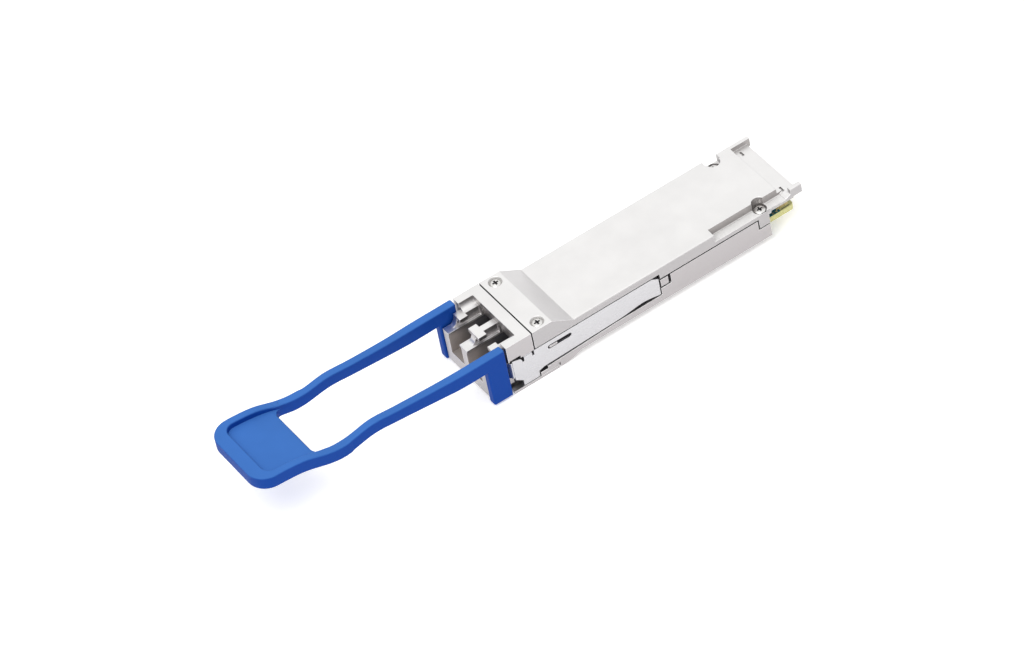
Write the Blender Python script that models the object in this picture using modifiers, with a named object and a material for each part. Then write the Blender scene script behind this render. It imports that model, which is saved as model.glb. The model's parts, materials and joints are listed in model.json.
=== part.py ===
"""Pluggable optical transceiver module with a duplex fibre receptacle.

All sizes below are millimetres measured from two datums: "station" runs along the module, from the seam
between nose and cover (0) towards the edge connector (+), and height is measured from the flat underside.
The model is built in metres, +Z up, +Y towards the edge connector, with its origin on the flat underside
at station ORIGIN_STATION.
"""
import math

import bmesh
import bpy
from mathutils import Matrix, Vector

MM = 0.001
ORIGIN_STATION = 32.5
MERGE = 0.00001

# Module body
HALF_WIDTH = 9.175
ROOF = 8.5
HEAD_TOP = 11.2
HEAD_BOTTOM = -0.65
SHELL_REAR = 55.45
ROOF_REAR = 62.8
EAR_REAR = 63.6
SKIN = 1.0

# Nose and receptacle
NOSE_FRONT = -10.3
NOSE_HALF = 7.15
WALL_FRONT = -5.9
DECK = 7.5
POST_TOP = 9.6
KEEPER_BOTTOM = 8.7
OPENING_HALF = 7.26
OPENING_REAR = -2.5
SWEEP_FOOT = -8.95
PORT_INNER = 0.9
PORT_OUTER = 5.35
PORT_FLOOR = 2.2
PORT_CEILING = 7.0
SLOT_INNER = 1.3
SLOT_OUTER = 5.1
FIBRE_X = 3.125
FIBRE_Z = 4.45

# Seam between cover and shell
SEAM_FRONT = 6.95
SEAM_REAR = 5.75
SEAM_GAP = 0.25
SLIDER_END = 29.3
LEG_FRONT = 52.95
LEG_BOTTOM = 3.4

# Latch slider, bent from one sheet
SHEET = 0.5
SLIDER_OUTER = 9.1
RECESS_FACE = 8.5
BRIDGE_TOP = -0.07
BRIDGE_BOTTOM = -0.55
TRAVEL = 3.2

# Return springs of the slider
SPRING_X = 7.65
SPRING_Z = 4.2
SPRING_FRONT = 10.05
SPRING_REAR = 17.3
SPRING_RADIUS = 0.55
SPRING_WIRE = 0.1
SPRING_TURNS = 7

# Pull tab
TAB_FRONT = -62.05
WINDOW_END = -48.55
ARM_REAR = -6.35
LEG_INNER = 7.7
LEG_OUTER = 9.4
LEG_REAR = -6.2
LEG_FOOT = -1.0

# Circuit board
BOARD_BOTTOM = 2.3
BOARD_TOP = 3.65
BOARD_HALF = 8.21
BOARD_FRONT_HALF = 7.1
BOARD_FRONT = 19.6
BOARD_REAR = 61.8
CAVITY_HALF = 8.4
CAVITY_FRONT_HALF = 7.25

# Screws
FRONT_SCREW = (7.2, 2.75)
REAR_SCREW = (7.65, 54.4)
ROUND = 28


def clear_scene():
    for item in list(bpy.data.objects):
        bpy.data.objects.remove(item)


def new_collection(name):
    collection = bpy.data.collections.new(name)
    bpy.context.scene.collection.children.link(collection)
    return collection


clear_scene()
PARTS = new_collection("optical_transceiver_module")
CUTTERS = new_collection("cutters")


def spot(x, station, z):
    """A point in metres from a width, a station and a height in millimetres."""
    return Vector((x, station - ORIGIN_STATION, z)) * MM


def material(name, colour, roughness, metallic):
    finish = bpy.data.materials.new(name)
    finish.use_nodes = True
    shader = finish.node_tree.nodes["Principled BSDF"]
    shader.inputs["Base Color"].default_value = (*colour, 1.0)
    shader.inputs["Roughness"].default_value = roughness
    shader.inputs["Metallic"].default_value = metallic
    return finish


FINISHES = {
    "nickel": material("nickel", (0.78, 0.77, 0.76), 0.38, 1.0),
    "spring_steel": material("spring_steel", (0.72, 0.72, 0.75), 0.3, 1.0),
    "screw_steel": material("screw_steel", (0.65, 0.65, 0.64), 0.25, 1.0),
    "blue_plastic": material("blue_plastic", (0.03, 0.13, 0.5), 0.45, 0.0),
    "board": material("board", (0.01, 0.09, 0.1), 0.5, 0.0),
    "gold": material("gold", (0.83, 0.66, 0.3), 0.25, 1.0),
    "barrel_steel": material("barrel_steel", (0.6, 0.6, 0.6), 0.3, 1.0),
    "zirconia": material("zirconia", (0.85, 0.84, 0.8), 0.3, 0.0),
    "polyimide": material("polyimide", (0.45, 0.2, 0.04), 0.4, 0.0),
    "chip_black": material("chip_black", (0.02, 0.02, 0.02), 0.5, 0.0),
    "thermal_pad": material("thermal_pad", (0.35, 0.4, 0.5), 0.8, 0.0),
    "gasket_black": material("gasket_black", (0.04, 0.04, 0.04), 0.9, 0.0),
}


def add_object(name, mesh, collection):
    item = bpy.data.objects.new(name, mesh)
    collection.objects.link(item)
    return item


def as_cutter(item):
    """Hide an object that only shapes others."""
    item.hide_render = True
    item.display_type = "WIRE"
    return item


def box(name, x_range, y_range, z_range, collection=CUTTERS):
    """A block between two widths, two stations and two heights."""
    low = spot(x_range[0], y_range[0], z_range[0])
    high = spot(x_range[1], y_range[1], z_range[1])
    size = high - low
    shape = bmesh.new()
    bmesh.ops.create_cube(shape, size=1.0)
    bmesh.ops.scale(shape, vec=size, verts=shape.verts)
    bmesh.ops.translate(shape, vec=(low + high) / 2, verts=shape.verts)
    mesh = bpy.data.meshes.new(name)
    shape.to_mesh(mesh)
    shape.free()
    return add_object(name, mesh, collection)


def cylinder(name, centre, radius, z_range, collection=CUTTERS):
    """An upright cylinder at (x, station)."""
    shape = bmesh.new()
    depth = (z_range[1] - z_range[0]) * MM
    bmesh.ops.create_cone(shape, cap_ends=True, segments=ROUND, radius1=radius * MM,
                          radius2=radius * MM, depth=depth)
    middle = spot(centre[0], centre[1], (z_range[0] + z_range[1]) / 2)
    bmesh.ops.translate(shape, vec=middle, verts=shape.verts)
    mesh = bpy.data.meshes.new(name)
    shape.to_mesh(mesh)
    shape.free()
    return add_object(name, mesh, collection)


def mesh_from_curve(item, collection):
    """Turn a filled or bevelled curve into a closed mesh object of the same name."""
    bpy.context.view_layer.update()
    graph = bpy.context.evaluated_depsgraph_get()
    mesh = bpy.data.meshes.new_from_object(item.evaluated_get(graph))
    shape = bmesh.new()
    shape.from_mesh(mesh)
    bmesh.ops.remove_doubles(shape, verts=shape.verts, dist=MERGE)
    bmesh.ops.recalc_face_normals(shape, faces=shape.faces)
    shape.to_mesh(mesh)
    shape.free()
    name = item.name
    matrix = item.matrix_world.copy()
    bpy.data.objects.remove(item)
    solid = add_object(name, mesh, collection)
    solid.matrix_world = matrix
    return solid


PLANE_AXES = {
    "plan": Matrix(((1, 0, 0), (0, 1, 0), (0, 0, 1))),
    "side": Matrix(((0, 0, 1), (1, 0, 0), (0, 1, 0))),
    "front": Matrix(((1, 0, 0), (0, 0, -1), (0, 1, 0))),
}


def prism(name, outline, plane, low, high, collection=CUTTERS):
    """A flat outline given thickness: plan is (x, station), side (station, z), front (x, z)."""
    curve = bpy.data.curves.new(name, "CURVE")
    curve.dimensions = "2D"
    curve.fill_mode = "BOTH"
    curve.extrude = (high - low) / 2 * MM
    shift = Vector((0, 0))
    if plane == "plan":
        shift = Vector((0, ORIGIN_STATION))
    if plane == "side":
        shift = Vector((ORIGIN_STATION, 0))
    spline = curve.splines.new("POLY")
    spline.points.add(len(outline) - 1)
    for point, place in zip(spline.points, outline):
        point.co = (*((Vector(place) - shift) * MM), 0, 1)
    spline.use_cyclic_u = True
    item = add_object(name, curve, collection)
    middle = (low + high) / 2
    if plane == "front":
        middle = ORIGIN_STATION - middle
    axes = PLANE_AXES[plane]
    offset = axes @ Vector((0, 0, middle * MM))
    item.matrix_world = Matrix.Translation(offset) @ axes.to_4x4()
    return mesh_from_curve(item, collection)


def arc(centre, radius, start, end, steps):
    """Points along an arc, with angles in degrees."""
    points = []
    for index in range(steps + 1):
        angle = math.radians(start + (end - start) * index / steps)
        x = centre[0] + radius * math.cos(angle)
        y = centre[1] + radius * math.sin(angle)
        points.append((x, y))
    return points


def smooth_path(knots, steps):
    """Points on a Catmull-Rom curve through the knots."""
    points = []
    padded = [knots[0], *knots, knots[-1]]
    for index in range(1, len(padded) - 2):
        before, start, end, after = (Vector(knot) for knot in padded[index - 1:index + 3])
        for step in range(steps):
            t = step / steps
            value = 0.5 * (2 * start + (end - before) * t
                           + (2 * before - 5 * start + 4 * end - after) * t ** 2
                           + (3 * start - before - 3 * end + after) * t ** 3)
            points.append(tuple(value))
    points.append(tuple(knots[-1]))
    return points


def boolean(item, other, operation):
    change = item.modifiers.new(other.name, "BOOLEAN")
    change.operation = operation
    change.solver = "EXACT"
    change.object = as_cutter(other)


def join(item, *others):
    for other in others:
        boolean(item, other, "UNION")


def cut(item, *others):
    for other in others:
        boolean(item, other, "DIFFERENCE")


def keep(item, other):
    boolean(item, other, "INTERSECT")


def finish_part(item, finish):
    item.data.materials.clear()
    item.data.materials.append(FINISHES[finish])
    return item


def round_off(item, width, segments=1):
    bevel = item.modifiers.new("rounded_edges", "BEVEL")
    bevel.width = width * MM
    bevel.segments = segments
    bevel.limit_method = "ANGLE"


def both_sides(builder):
    """Run a builder for the right (+1) and left (-1) side of the module."""
    for side, label in ((1, "right"), (-1, "left")):
        builder(side, label)


def span(side, inner, outer):
    """A width range on one side of the middle, in rising order."""
    return tuple(sorted((side * inner, side * outer)))


# ---- Bottom shell: die casting with the nose in one piece -----------------------------------------

def shell_blank():
    shell = box("bottom_shell", (-HALF_WIDTH, HALF_WIDTH), (-0.5, SHELL_REAR),
                (0, SEAM_REAR - SEAM_GAP), PARTS)
    join(shell,
         box("inner_walls", (-RECESS_FACE, RECESS_FACE), (-0.5, SLIDER_END - 0.1),
             (0.5, SEAM_FRONT - SEAM_GAP)),
         box("head_block", (-HALF_WIDTH, HALF_WIDTH), (WALL_FRONT, 0), (HEAD_BOTTOM, HEAD_TOP)),
         box("nose_block", (-NOSE_HALF, NOSE_HALF), (NOSE_FRONT, -5.5), (HEAD_BOTTOM, DECK)),
         box("head_floor", (-HALF_WIDTH, HALF_WIDTH), (-0.5, 4.5), (HEAD_BOTTOM, 1.0)))
    ramp = [(4.95, -1.1), *arc((5.3, 7.85), 8.95, -90, -60, 6)[1:], (10.0, 0.5), (4.95, 0.5)]
    join(shell, prism("underside_ramp", ramp, "side", -HALF_WIDTH, HALF_WIDTH))
    return shell


def shell_cavity(shell):
    cut(shell,
        box("receptacle_chamber", (-6.2, 6.2), (0.8, 9.2), (SKIN, 12)),
        box("optics_chamber", (-6.4, 6.4), (9.0, 19.3), (SKIN, 12)),
        box("board_chamber_front", (-CAVITY_FRONT_HALF, CAVITY_FRONT_HALF), (19.2, 33.1), (SKIN, 12)),
        box("board_chamber_rear", (-CAVITY_HALF, CAVITY_HALF), (33.0, 56.0), (SKIN, 12)))


def slider_recess(shell, side, label):
    outside = HALF_WIDTH + 0.4
    face = span(side, RECESS_FACE, outside)
    lower_edge = [(0.2, 0.75), (2.3, 0.8), (18.3, 1.5), (SLIDER_END, 1.55), (SLIDER_END, 8.0), (0.2, 8.0)]
    sheet_recess = prism("sheet_recess_" + label, lower_edge, "side", *face)
    cut(shell,
        box("head_recess_" + label, face, (-6.3, 0.4), (-0.9, 6.8)),
        box("head_recess_top_" + label, span(side, 7.9, outside), (-5.6, -3.1), (6.3, 7.45)),
        box("head_recess_foot_" + label, span(side, 7.8, outside), (-5.6, -3.3), (-0.3, 1.95)),
        box("step_recess_" + label, span(side, 8.0, outside), (0.3, 2.15), (0.2, 1.1)),
        box("bow_recess_" + label, span(side, 8.0, outside), (19.6, 28.4), (1.56, 2.6)),
        sheet_recess,
        box("jog_relief_" + label, span(side, 7.6, outside), (-6.3, -4.7), (-0.9, 7.2)),
        box("stop_recess_" + label, span(side, 8.45, outside), (SLIDER_END - 0.1, 31.8), (3.2, 6.0)),
        box("spring_pocket_" + label, span(side, 6.85, outside), (SPRING_FRONT - 0.1, 18.3), (3.4, 5.0)))
    join(shell,
         box("stop_block_" + label, span(side, 8.3, SLIDER_OUTER), (29.45, 31.25), (3.5, 5.3)),
         box("guide_boss_" + label, span(side, 8.3, SLIDER_OUTER), (3.2, 5.2), (4.9, 5.5)))


def receptacle(shell):
    cut(shell, box("latch_opening", (-OPENING_HALF, OPENING_HALF), (WALL_FRONT - 0.5, OPENING_REAR),
                   (DECK, HEAD_TOP + 0.5)))
    low = PORT_CEILING - 0.2
    high = HEAD_TOP - 0.4
    lead_in = [(NOSE_FRONT - 0.5, low), (-1.75, low), (OPENING_REAR - 0.05, high),
               (OPENING_REAR - 0.3, high), (OPENING_REAR - 0.3, DECK + 0.3), (NOSE_FRONT - 0.5, DECK + 0.3)]
    for side, label in ((1, "right"), (-1, "left")):
        cut(shell,
            box("port_" + label, span(side, PORT_INNER, PORT_OUTER), (NOSE_FRONT - 0.5, 0),
                (PORT_FLOOR, PORT_CEILING)),
            prism("port_slot_" + label, lead_in, "side", *span(side, SLOT_INNER, SLOT_OUTER)))


def keeper_sweep(name, x_range, head_front):
    """The concave ramp that lifts a fibre plug's latch onto a keeper."""
    foot = SWEEP_FOOT
    reach = head_front - foot
    rise = POST_TOP - DECK
    ramp = []
    for index in range(7):
        angle = math.radians(90 * index / 6)
        ramp.append((foot + reach * math.sin(angle), POST_TOP - rise * math.cos(angle)))
    outline = [*ramp, (-6.4, POST_TOP), (-6.4, DECK - 0.3), (foot, DECK - 0.3)]
    return prism(name, outline, "side", *x_range)


def latch_keepers(shell):
    rib_front = -6.9
    join(shell,
         keeper_sweep("centre_sweep", (-0.75, 0.75), -7.55),
         box("centre_keeper", (-1.84, 1.84), (-7.55, -5.65), (KEEPER_BOTTOM, POST_TOP)),
         box("centre_bar", (-0.75, 0.75), (rib_front, -1.5), (DECK - 0.3, POST_TOP)))
    for side, label in ((1, "right"), (-1, "left")):
        fillet = [(side * 5.67, POST_TOP), *[(side * x, z) for x, z in arc((5.86, 11.0), 1.4, -90, 0, 5)],
                  (side * 7.6, HEAD_TOP), (side * 7.6, DECK - 0.3), (side * 5.67, DECK - 0.3)]
        join(shell,
             keeper_sweep("outer_sweep_" + label, span(side, 5.8, NOSE_HALF - 0.15), -7.5),
             box("outer_rib_" + label, span(side, 5.67, NOSE_HALF - 0.15), (rib_front, -5.5),
                 (DECK - 0.3, POST_TOP - 0.2)),
             box("outer_keeper_" + label, span(side, 4.8, NOSE_HALF), (-7.5, -5.6),
                 (KEEPER_BOTTOM, POST_TOP)),
             prism("outer_bar_" + label, fillet, "front", -5.7, -1.5))


def barrel_bore(name, side, radius, stations):
    """A round hole along the module, on one fibre axis."""
    outline = arc((side * FIBRE_X, FIBRE_Z), radius, 0, 360, ROUND)[:-1]
    return prism(name, outline, "front", *stations)


def bottom_shell():
    shell = shell_blank()
    shell_cavity(shell)
    receptacle(shell)
    latch_keepers(shell)
    cut(shell, box("bridge_slot", (-HALF_WIDTH - 1, HALF_WIDTH + 1), (-3.85 - TRAVEL, 0.4), (-1.0, 0.05)))
    for side, label in ((1, "right"), (-1, "left")):
        slider_recess(shell, side, label)
        cut(shell, barrel_bore("barrel_bore_" + label, side, 1.75, (-0.4, 1.2)))
        join(shell,
             box("board_ledge_rear_" + label, span(side, 7.5, 8.7), (34.0, 53.5), (0.5, BOARD_BOTTOM - 0.1)),
             box("board_ledge_front_" + label, span(side, 6.5, 7.6), (20.0, 32.0), (0.5, BOARD_BOTTOM - 0.1)),
             box("rear_boss_" + label, span(side, 6.8, 8.7), (LEG_FRONT, SHELL_REAR), (0.5, 3.1)))
        cut(shell,
            box("leg_notch_" + label, span(side, 6.0, 10), (LEG_FRONT - 0.25, SHELL_REAR + 1),
                (LEG_BOTTOM - SEAM_GAP, 9)),
            cylinder("front_screw_hole_" + label, (side * FRONT_SCREW[0], FRONT_SCREW[1]), 0.65, (-2, 9)),
            cylinder("rear_screw_hole_" + label, (side * REAR_SCREW[0], REAR_SCREW[1]), 0.6, (0.9, 9)))
    return finish_part(shell, "nickel")


# ---- Top cover: the head with its slope, the roof and the rear ears -------------------------------

def cover_blank():
    profile = [(0.25, SEAM_FRONT), (0.25, HEAD_TOP), (4.9, HEAD_TOP), (9.5, ROOF), (ROOF_REAR, ROOF),
               (ROOF_REAR, 6.44), (56.5, 6.44), (56.5, SEAM_FRONT)]
    cover = prism("top_cover", profile, "side", -HALF_WIDTH - 0.3, HALF_WIDTH + 0.3, collection=PARTS)
    join(cover,
         box("far_ear", (-HALF_WIDTH - 0.4, -8.2), (55.0, EAR_REAR), (6.44, ROOF)),
         box("near_ear", (8.2, HALF_WIDTH + 0.4), (60.0, EAR_REAR), (6.44, ROOF)),
         box("near_ledge_block", (6.4, HALF_WIDTH + 0.5), (42.0, 61.5), (6.1, 7.8)))
    for side, label in ((1, "right"), (-1, "left")):
        join(cover,
             box("skirt_" + label, span(side, CAVITY_HALF, HALF_WIDTH + 0.6), (SLIDER_END + 0.15, SHELL_REAR),
                 (SEAM_REAR, 7.2)),
             box("leg_" + label, span(side, 6.9, HALF_WIDTH + 0.7), (LEG_FRONT, SHELL_REAR),
                 (LEG_BOTTOM, 7.25)),
             box("screw_seat_" + label, span(side, 5.95, 8.9), (52.8, 56.2), (5.3, 7.3)))
    keep(cover, box("cover_envelope", (-HALF_WIDTH, HALF_WIDTH), (-1, EAR_REAR + 1),
                    (LEG_BOTTOM - 1, HEAD_TOP + 1)))
    return cover


def cover_hollow(cover):
    head_hollow = [(1.2, 6.5), (1.2, 9.9), (4.4, 9.9), (8.3, 7.6), (8.3, 6.5)]
    cut(cover,
        prism("head_hollow", head_hollow, "side", -5.6, 5.6),
        box("roof_hollow_front", (-CAVITY_FRONT_HALF, CAVITY_FRONT_HALF), (9.8, 30.1), (6.5, ROOF - SKIN)),
        box("roof_hollow_rear", (-CAVITY_HALF, 6.4), (30.0, 52.0), (6.5, ROOF - SKIN)),
        box("roof_hollow_side", (6.0, CAVITY_HALF), (30.0, 42.05), (6.5, ROOF - SKIN)),
        box("roof_hollow_card", (-5.9, 5.9), (51.9, 59.0), (6.3, ROOF - SKIN)))


def cover_recesses(cover):
    cut(cover,
        box("near_ledge", (7.05, 10), (42.7, 59.6), (6.7, 9)),
        box("near_ledge_tail", (8.2, 10), (59.5, 61.0), (6.7, 9)),
        box("lower_roof", (-8.2, 8.2), (59.1, 64), (7.35, 9)),
        cylinder("near_screw_pocket", REAR_SCREW, 1.45, (6.05, 9)),
        cylinder("far_screw_pocket", (-REAR_SCREW[0], REAR_SCREW[1]), 1.45, (6.05, 9)),
        box("far_screw_notch", (-10, -REAR_SCREW[0]), (52.8, 56.0), (6.7, 9)))
    for side, label in ((1, "right"), (-1, "left")):
        head_place = (side * FRONT_SCREW[0], FRONT_SCREW[1])
        tail_place = (side * REAR_SCREW[0], REAR_SCREW[1])
        cut(cover,
            cylinder("front_counterbore_" + label, head_place, 1.4, (10.35, 12)),
            cylinder("front_clearance_" + label, head_place, 0.7, (5, 12)),
            cylinder("rear_clearance_" + label, tail_place, 0.65, (2, 7)),
            box("roof_slot_" + label, span(side, 5.6, 7.1), (60.25, 60.65), (6.9, 8)))


def top_cover():
    cover = cover_blank()
    cover_hollow(cover)
    cover_recesses(cover)
    return finish_part(cover, "nickel")


def nose_base_plate():
    heights = (-1.3, HEAD_BOTTOM - 0.05)
    plate = box("nose_base_plate", (-HALF_WIDTH, HALF_WIDTH), (WALL_FRONT, 4.55), heights, PARTS)
    join(plate, box("base_plate_lip", (-NOSE_HALF, NOSE_HALF), (-10.0, -5.0), heights))
    for side, label in ((1, "right"), (-1, "left")):
        cut(plate, cylinder("base_thread_" + label, (side * FRONT_SCREW[0], FRONT_SCREW[1]), 0.6, (-2, 0)))
    return finish_part(plate, "nickel")


# ---- Latch: sheet slider, pull tab and return springs ---------------------------------------------

def slider_plate_outline():
    """One side plate of the slider, as (station, height)."""
    return [(-5.1, 1.9), (-3.7, 0.95), (-3.5, 0.75), (-3.5, BRIDGE_BOTTOM), (0.2, BRIDGE_BOTTOM), (0.2, 0.8),
            (1.5, 1.2), (17.0, 1.66), (19.0, 1.72), (20.8, 1.85), (24.3, 2.3), (26.3, 2.2), (28.5, 1.8),
            (29.1, 1.75), (29.1, 5.9), (27.6, 6.7), (-0.1, 6.7), (-0.1, 5.6), (-0.55, 5.6), (-0.55, 6.6),
            (-2.45, 6.6), (-2.45, 5.45), (-2.85, 5.45), (-3.4, 6.45), (-5.1, 6.95)]


def latch_slider():
    inner = SLIDER_OUTER - SHEET
    slider = box("latch_slider", (-8.8, 8.8), (-3.4, 0), (BRIDGE_BOTTOM + 0.05, BRIDGE_TOP), PARTS)
    guide_slot = [*arc((3.46, 5.21), 0.46, 90, 270, 6), *arc((8.04, 5.21), 0.46, -90, 90, 6)]
    jog = [(-4.8, 8.95), (-5.35, 8.95), (-5.95, 8.2), (-9.3, 8.2), (-9.3, 7.85), (-5.8, 7.85), (-5.2, 8.7),
           (-4.8, 8.7)]
    for side, label in ((1, "right"), (-1, "left")):
        plate = span(side, inner, SLIDER_OUTER)
        join(slider,
             prism("side_plate_" + label, slider_plate_outline(), "side", *plate),
             prism("tongue_" + label, [(side * x, y) for y, x in jog], "plan", 2.4, 6.4),
             box("spring_lug_" + label, span(side, 7.0, inner + 0.1), (17.4, 17.85), (3.55, 4.85)))
        cut(slider, prism("guide_slot_" + label, guide_slot, "side", *span(side, 8.2, 9.6)))
    return finish_part(slider, "spring_steel")


def tab_side_profile():
    """Outline of the pull tab seen from the side, as (station, height)."""
    top = [(ARM_REAR, 11.25), (-20, 11.25), (-30, 11.65), (-36, 12.05), (-41.5, 11.22), (-46, 11.57),
           (-51.5, 13.4), (-57, 14.08), (TAB_FRONT, 14.1)]
    bottom = [(TAB_FRONT, 11.1), (-57.5, 11.08), (-52, 10.45), (-46, 8.6), (-42, 8.24), (-36, 9.2),
              (-30, 8.8), (-18, 7.85), (ARM_REAR, 7.85)]
    return [*smooth_path(top, 3), *smooth_path(bottom, 3)]


def tab_plan():
    """Outline of the pull tab seen from above, and its window, as lists of (x, station)."""
    corner = 4.2
    right_edge = [(9.42, -5.0), (9.42, -16), (9.2, -22), (9.05, -30), (9.05, -40), (9.38, -43),
                  (9.5, -54), (9.5, TAB_FRONT + corner)]
    front_corner = arc((9.5 - corner, TAB_FRONT + corner), corner, 0, -90, 6)[1:]
    half = [*right_edge, *front_corner]
    outline = [*half, *[(-x, y) for x, y in reversed(half)]]
    window_half = [(7.5, -4.0), (7.5, -15), (7.3, -29), (7.3, -38), (7.6, -46)]
    window_corner = arc((5.6, WINDOW_END + 2.0), 2.0, 0, -90, 4)
    edge = [*window_half, *window_corner]
    window = [*edge, *[(-x, y) for x, y in reversed(edge)]]
    return outline, window


def pull_tab():
    outline, window = tab_plan()
    tab = prism("pull_tab", tab_side_profile(), "side", -10, 10, collection=PARTS)
    keep(tab, prism("tab_outline", outline, "plan", 0, 20))
    cut(tab, prism("tab_window", window, "plan", 0, 20))
    for side, label in ((1, "right"), (-1, "left")):
        join(tab, box("tab_leg_" + label, span(side, LEG_INNER, LEG_OUTER), (-10.7, LEG_REAR),
                      (LEG_FOOT, 10.5)))
        cut(tab, box("tongue_rebate_" + label, span(side, 7.0, 8.4), (-9.6, -5.0), (2.1, 6.7)))
    tray_front = -59.1
    tray_corner = 2.0
    half = [(7.7, -46.0), (7.8, tray_front + tray_corner),
            *arc((7.8 - tray_corner, tray_front + tray_corner), tray_corner, 0, -90, 4)[1:]]
    tray = [*half, *[(-x, y) for x, y in reversed(half)]]
    floor = [(-46, 10.4), (-48.6, 11.5), (-53, 12.4), (-57, 12.8), (-60, 12.8)]
    floor_profile = [*smooth_path(floor, 3), (-60, 16), (-46, 16)]
    tray_cut = prism("tray", tray, "plan", 8, 18)
    keep(tray_cut, prism("tray_floor", floor_profile, "side", -10, 10))
    cut(tab, tray_cut)
    return finish_part(tab, "blue_plastic")


def return_spring(side, label):
    name = "return_spring_" + label
    curve = bpy.data.curves.new(name, "CURVE")
    curve.dimensions = "3D"
    curve.bevel_depth = SPRING_WIRE * MM
    curve.bevel_resolution = 2
    curve.use_fill_caps = True
    steps = SPRING_TURNS * 10
    start = SPRING_FRONT + SPRING_WIRE
    length = SPRING_REAR - SPRING_FRONT - 2 * SPRING_WIRE
    spline = curve.splines.new("POLY")
    spline.points.add(steps)
    for index, point in enumerate(spline.points):
        angle = 2 * math.pi * SPRING_TURNS * index / steps
        x = side * SPRING_X + SPRING_RADIUS * math.cos(angle)
        z = SPRING_Z + SPRING_RADIUS * math.sin(angle)
        point.co = (*spot(x, start + length * index / steps, z), 1)
    spring = mesh_from_curve(add_object(name, curve, PARTS), PARTS)
    return finish_part(spring, "spring_steel")


# ---- Screws ---------------------------------------------------------------------------------------

def turned(name, profile, collection=PARTS):
    """A solid of revolution about local Z from (radius, height) points, top to bottom."""
    mesh = bpy.data.meshes.new(name)
    points = [(radius * MM, 0, height * MM) for radius, height in profile]
    edges = [(index, index + 1) for index in range(len(points) - 1)]
    if profile[0][0] > 0:
        edges.append((len(points) - 1, 0))
    mesh.from_pydata(points, edges, [])
    item = add_object(name, mesh, collection)
    screw = item.modifiers.new("turn", "SCREW")
    screw.steps = ROUND
    screw.render_steps = ROUND
    screw.use_merge_vertices = True
    screw.merge_threshold = MERGE
    screw.use_smooth_shade = True
    return item


def shade_round(item):
    """Smooth shading with sharp edges kept, on a mesh made from the evaluated object."""
    bpy.context.view_layer.update()
    graph = bpy.context.evaluated_depsgraph_get()
    mesh = bpy.data.meshes.new_from_object(item.evaluated_get(graph))
    mesh.shade_smooth()
    mesh.set_sharp_from_angle(angle=math.radians(35))
    item.modifiers.clear()
    item.data = mesh
    return item


def pan_screw(name, place, head_top, head_radius, head_height, shaft_radius, shaft_end):
    rim = 0.25
    under_head = -head_height
    profile = [(0, 0), (head_radius - rim, 0), (head_radius, -rim), (head_radius, under_head),
               (shaft_radius, under_head), (shaft_radius, shaft_end - head_top + 0.3),
               (shaft_radius - 0.2, shaft_end - head_top), (0, shaft_end - head_top)]
    screw = turned(name, profile)
    screw.location = spot(place[0], place[1], head_top)
    arm = head_radius * 0.55
    slot = 0.13
    depth = 0.4
    for tag, reach in (("cross_a_", (arm, slot)), ("cross_b_", (slot, arm))):
        wide, deep = reach
        cut(screw, box(tag + name, (place[0] - wide, place[0] + wide), (place[1] - deep, place[1] + deep),
                       (head_top - depth, head_top + 1)))
    return finish_part(shade_round(screw), "screw_steel")


def cover_screws(side, label):
    front = (side * FRONT_SCREW[0], FRONT_SCREW[1])
    rear = (side * REAR_SCREW[0], REAR_SCREW[1])
    pan_screw("cover_screw_front_" + label, front, 11.05, 1.2, 0.6, 0.5, -1.2)
    pan_screw("cover_screw_rear_" + label, rear, 6.75, 1.25, 0.65, 0.45, 1.1)


# ---- Optics: receptacle barrels, sleeves, packages, flexes, clamp and gasket ---------------------

def lay_along(item, side, station):
    """Turn a solid of revolution so that its top faces the rear, on a fibre axis."""
    item.rotation_euler = (-math.pi / 2, 0, 0)
    item.location = spot(side * FIBRE_X, station, FIBRE_Z)
    return shade_round(item)


def receptacle_barrel(side, kind):
    """Steel barrel with a flange; its bore takes the fibre plug's ferrule."""
    profile = [(0.85, 6.0), (1.9, 6.0), (1.9, 3.3), (2.5, 3.3), (2.5, 2.2), (1.62, 2.2), (1.62, -4.3),
               (1.42, -4.6), (0.85, -4.6)]
    barrel = turned(kind + "_barrel", profile)
    return finish_part(lay_along(barrel, side, 0), "barrel_steel")


def ferrule_sleeve(side, kind):
    profile = [(0.625, 3.0), (0.8, 3.0), (0.8, -3.6), (0.625, -3.6)]
    sleeve = turned(kind + "_ferrule_sleeve", profile)
    return finish_part(lay_along(sleeve, side, 0), "zirconia")


def optical_package(side, kind):
    name = kind + "_package"
    package = box(name, span(side, 0.15, 6.05), (6.1, 15.9), (1.95, 6.95), PARTS)
    round_off(package, 0.25)
    return finish_part(package, "gold")


def flex_circuit(side, kind):
    """Thin printed flex from the package's rear face to the board's top."""
    thick = 0.15
    lie = BOARD_TOP + 0.22
    upper = smooth_path([(16.0, 4.3), (17.6, 4.35), (19.2, 4.0), (20.6, lie), (23.0, lie)], 3)
    outline = [*upper, *[(y, z - thick) for y, z in reversed(upper)]]
    flex = prism(kind + "_flex", outline, "side", *span(side, 0.9, 5.4), collection=PARTS)
    return finish_part(flex, "polyimide")


def receptacle_clamp():
    """Saddle that presses both barrels into the shell from above."""
    clamp = box("receptacle_clamp", (-5.5, 5.5), (3.75, 5.7), (FIBRE_Z + 0.1, 7.3), PARTS)
    for side, label in ((1, "right"), (-1, "left")):
        cut(clamp, barrel_bore("saddle_" + label, side, 1.97, (3, 6.5)))
    return finish_part(clamp, "spring_steel")


def shield_gasket():
    """Conductive foam between the barrel flanges and the wall behind the ports."""
    gasket = box("shield_gasket", (-5.5, 5.5), (0.9, 2.1), (1.3, 6.8), PARTS)
    for side, label in ((1, "right"), (-1, "left")):
        cut(gasket, barrel_bore("gasket_hole_" + label, side, 1.7, (0.2, 2.8)))
    return finish_part(gasket, "gasket_black")


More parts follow.
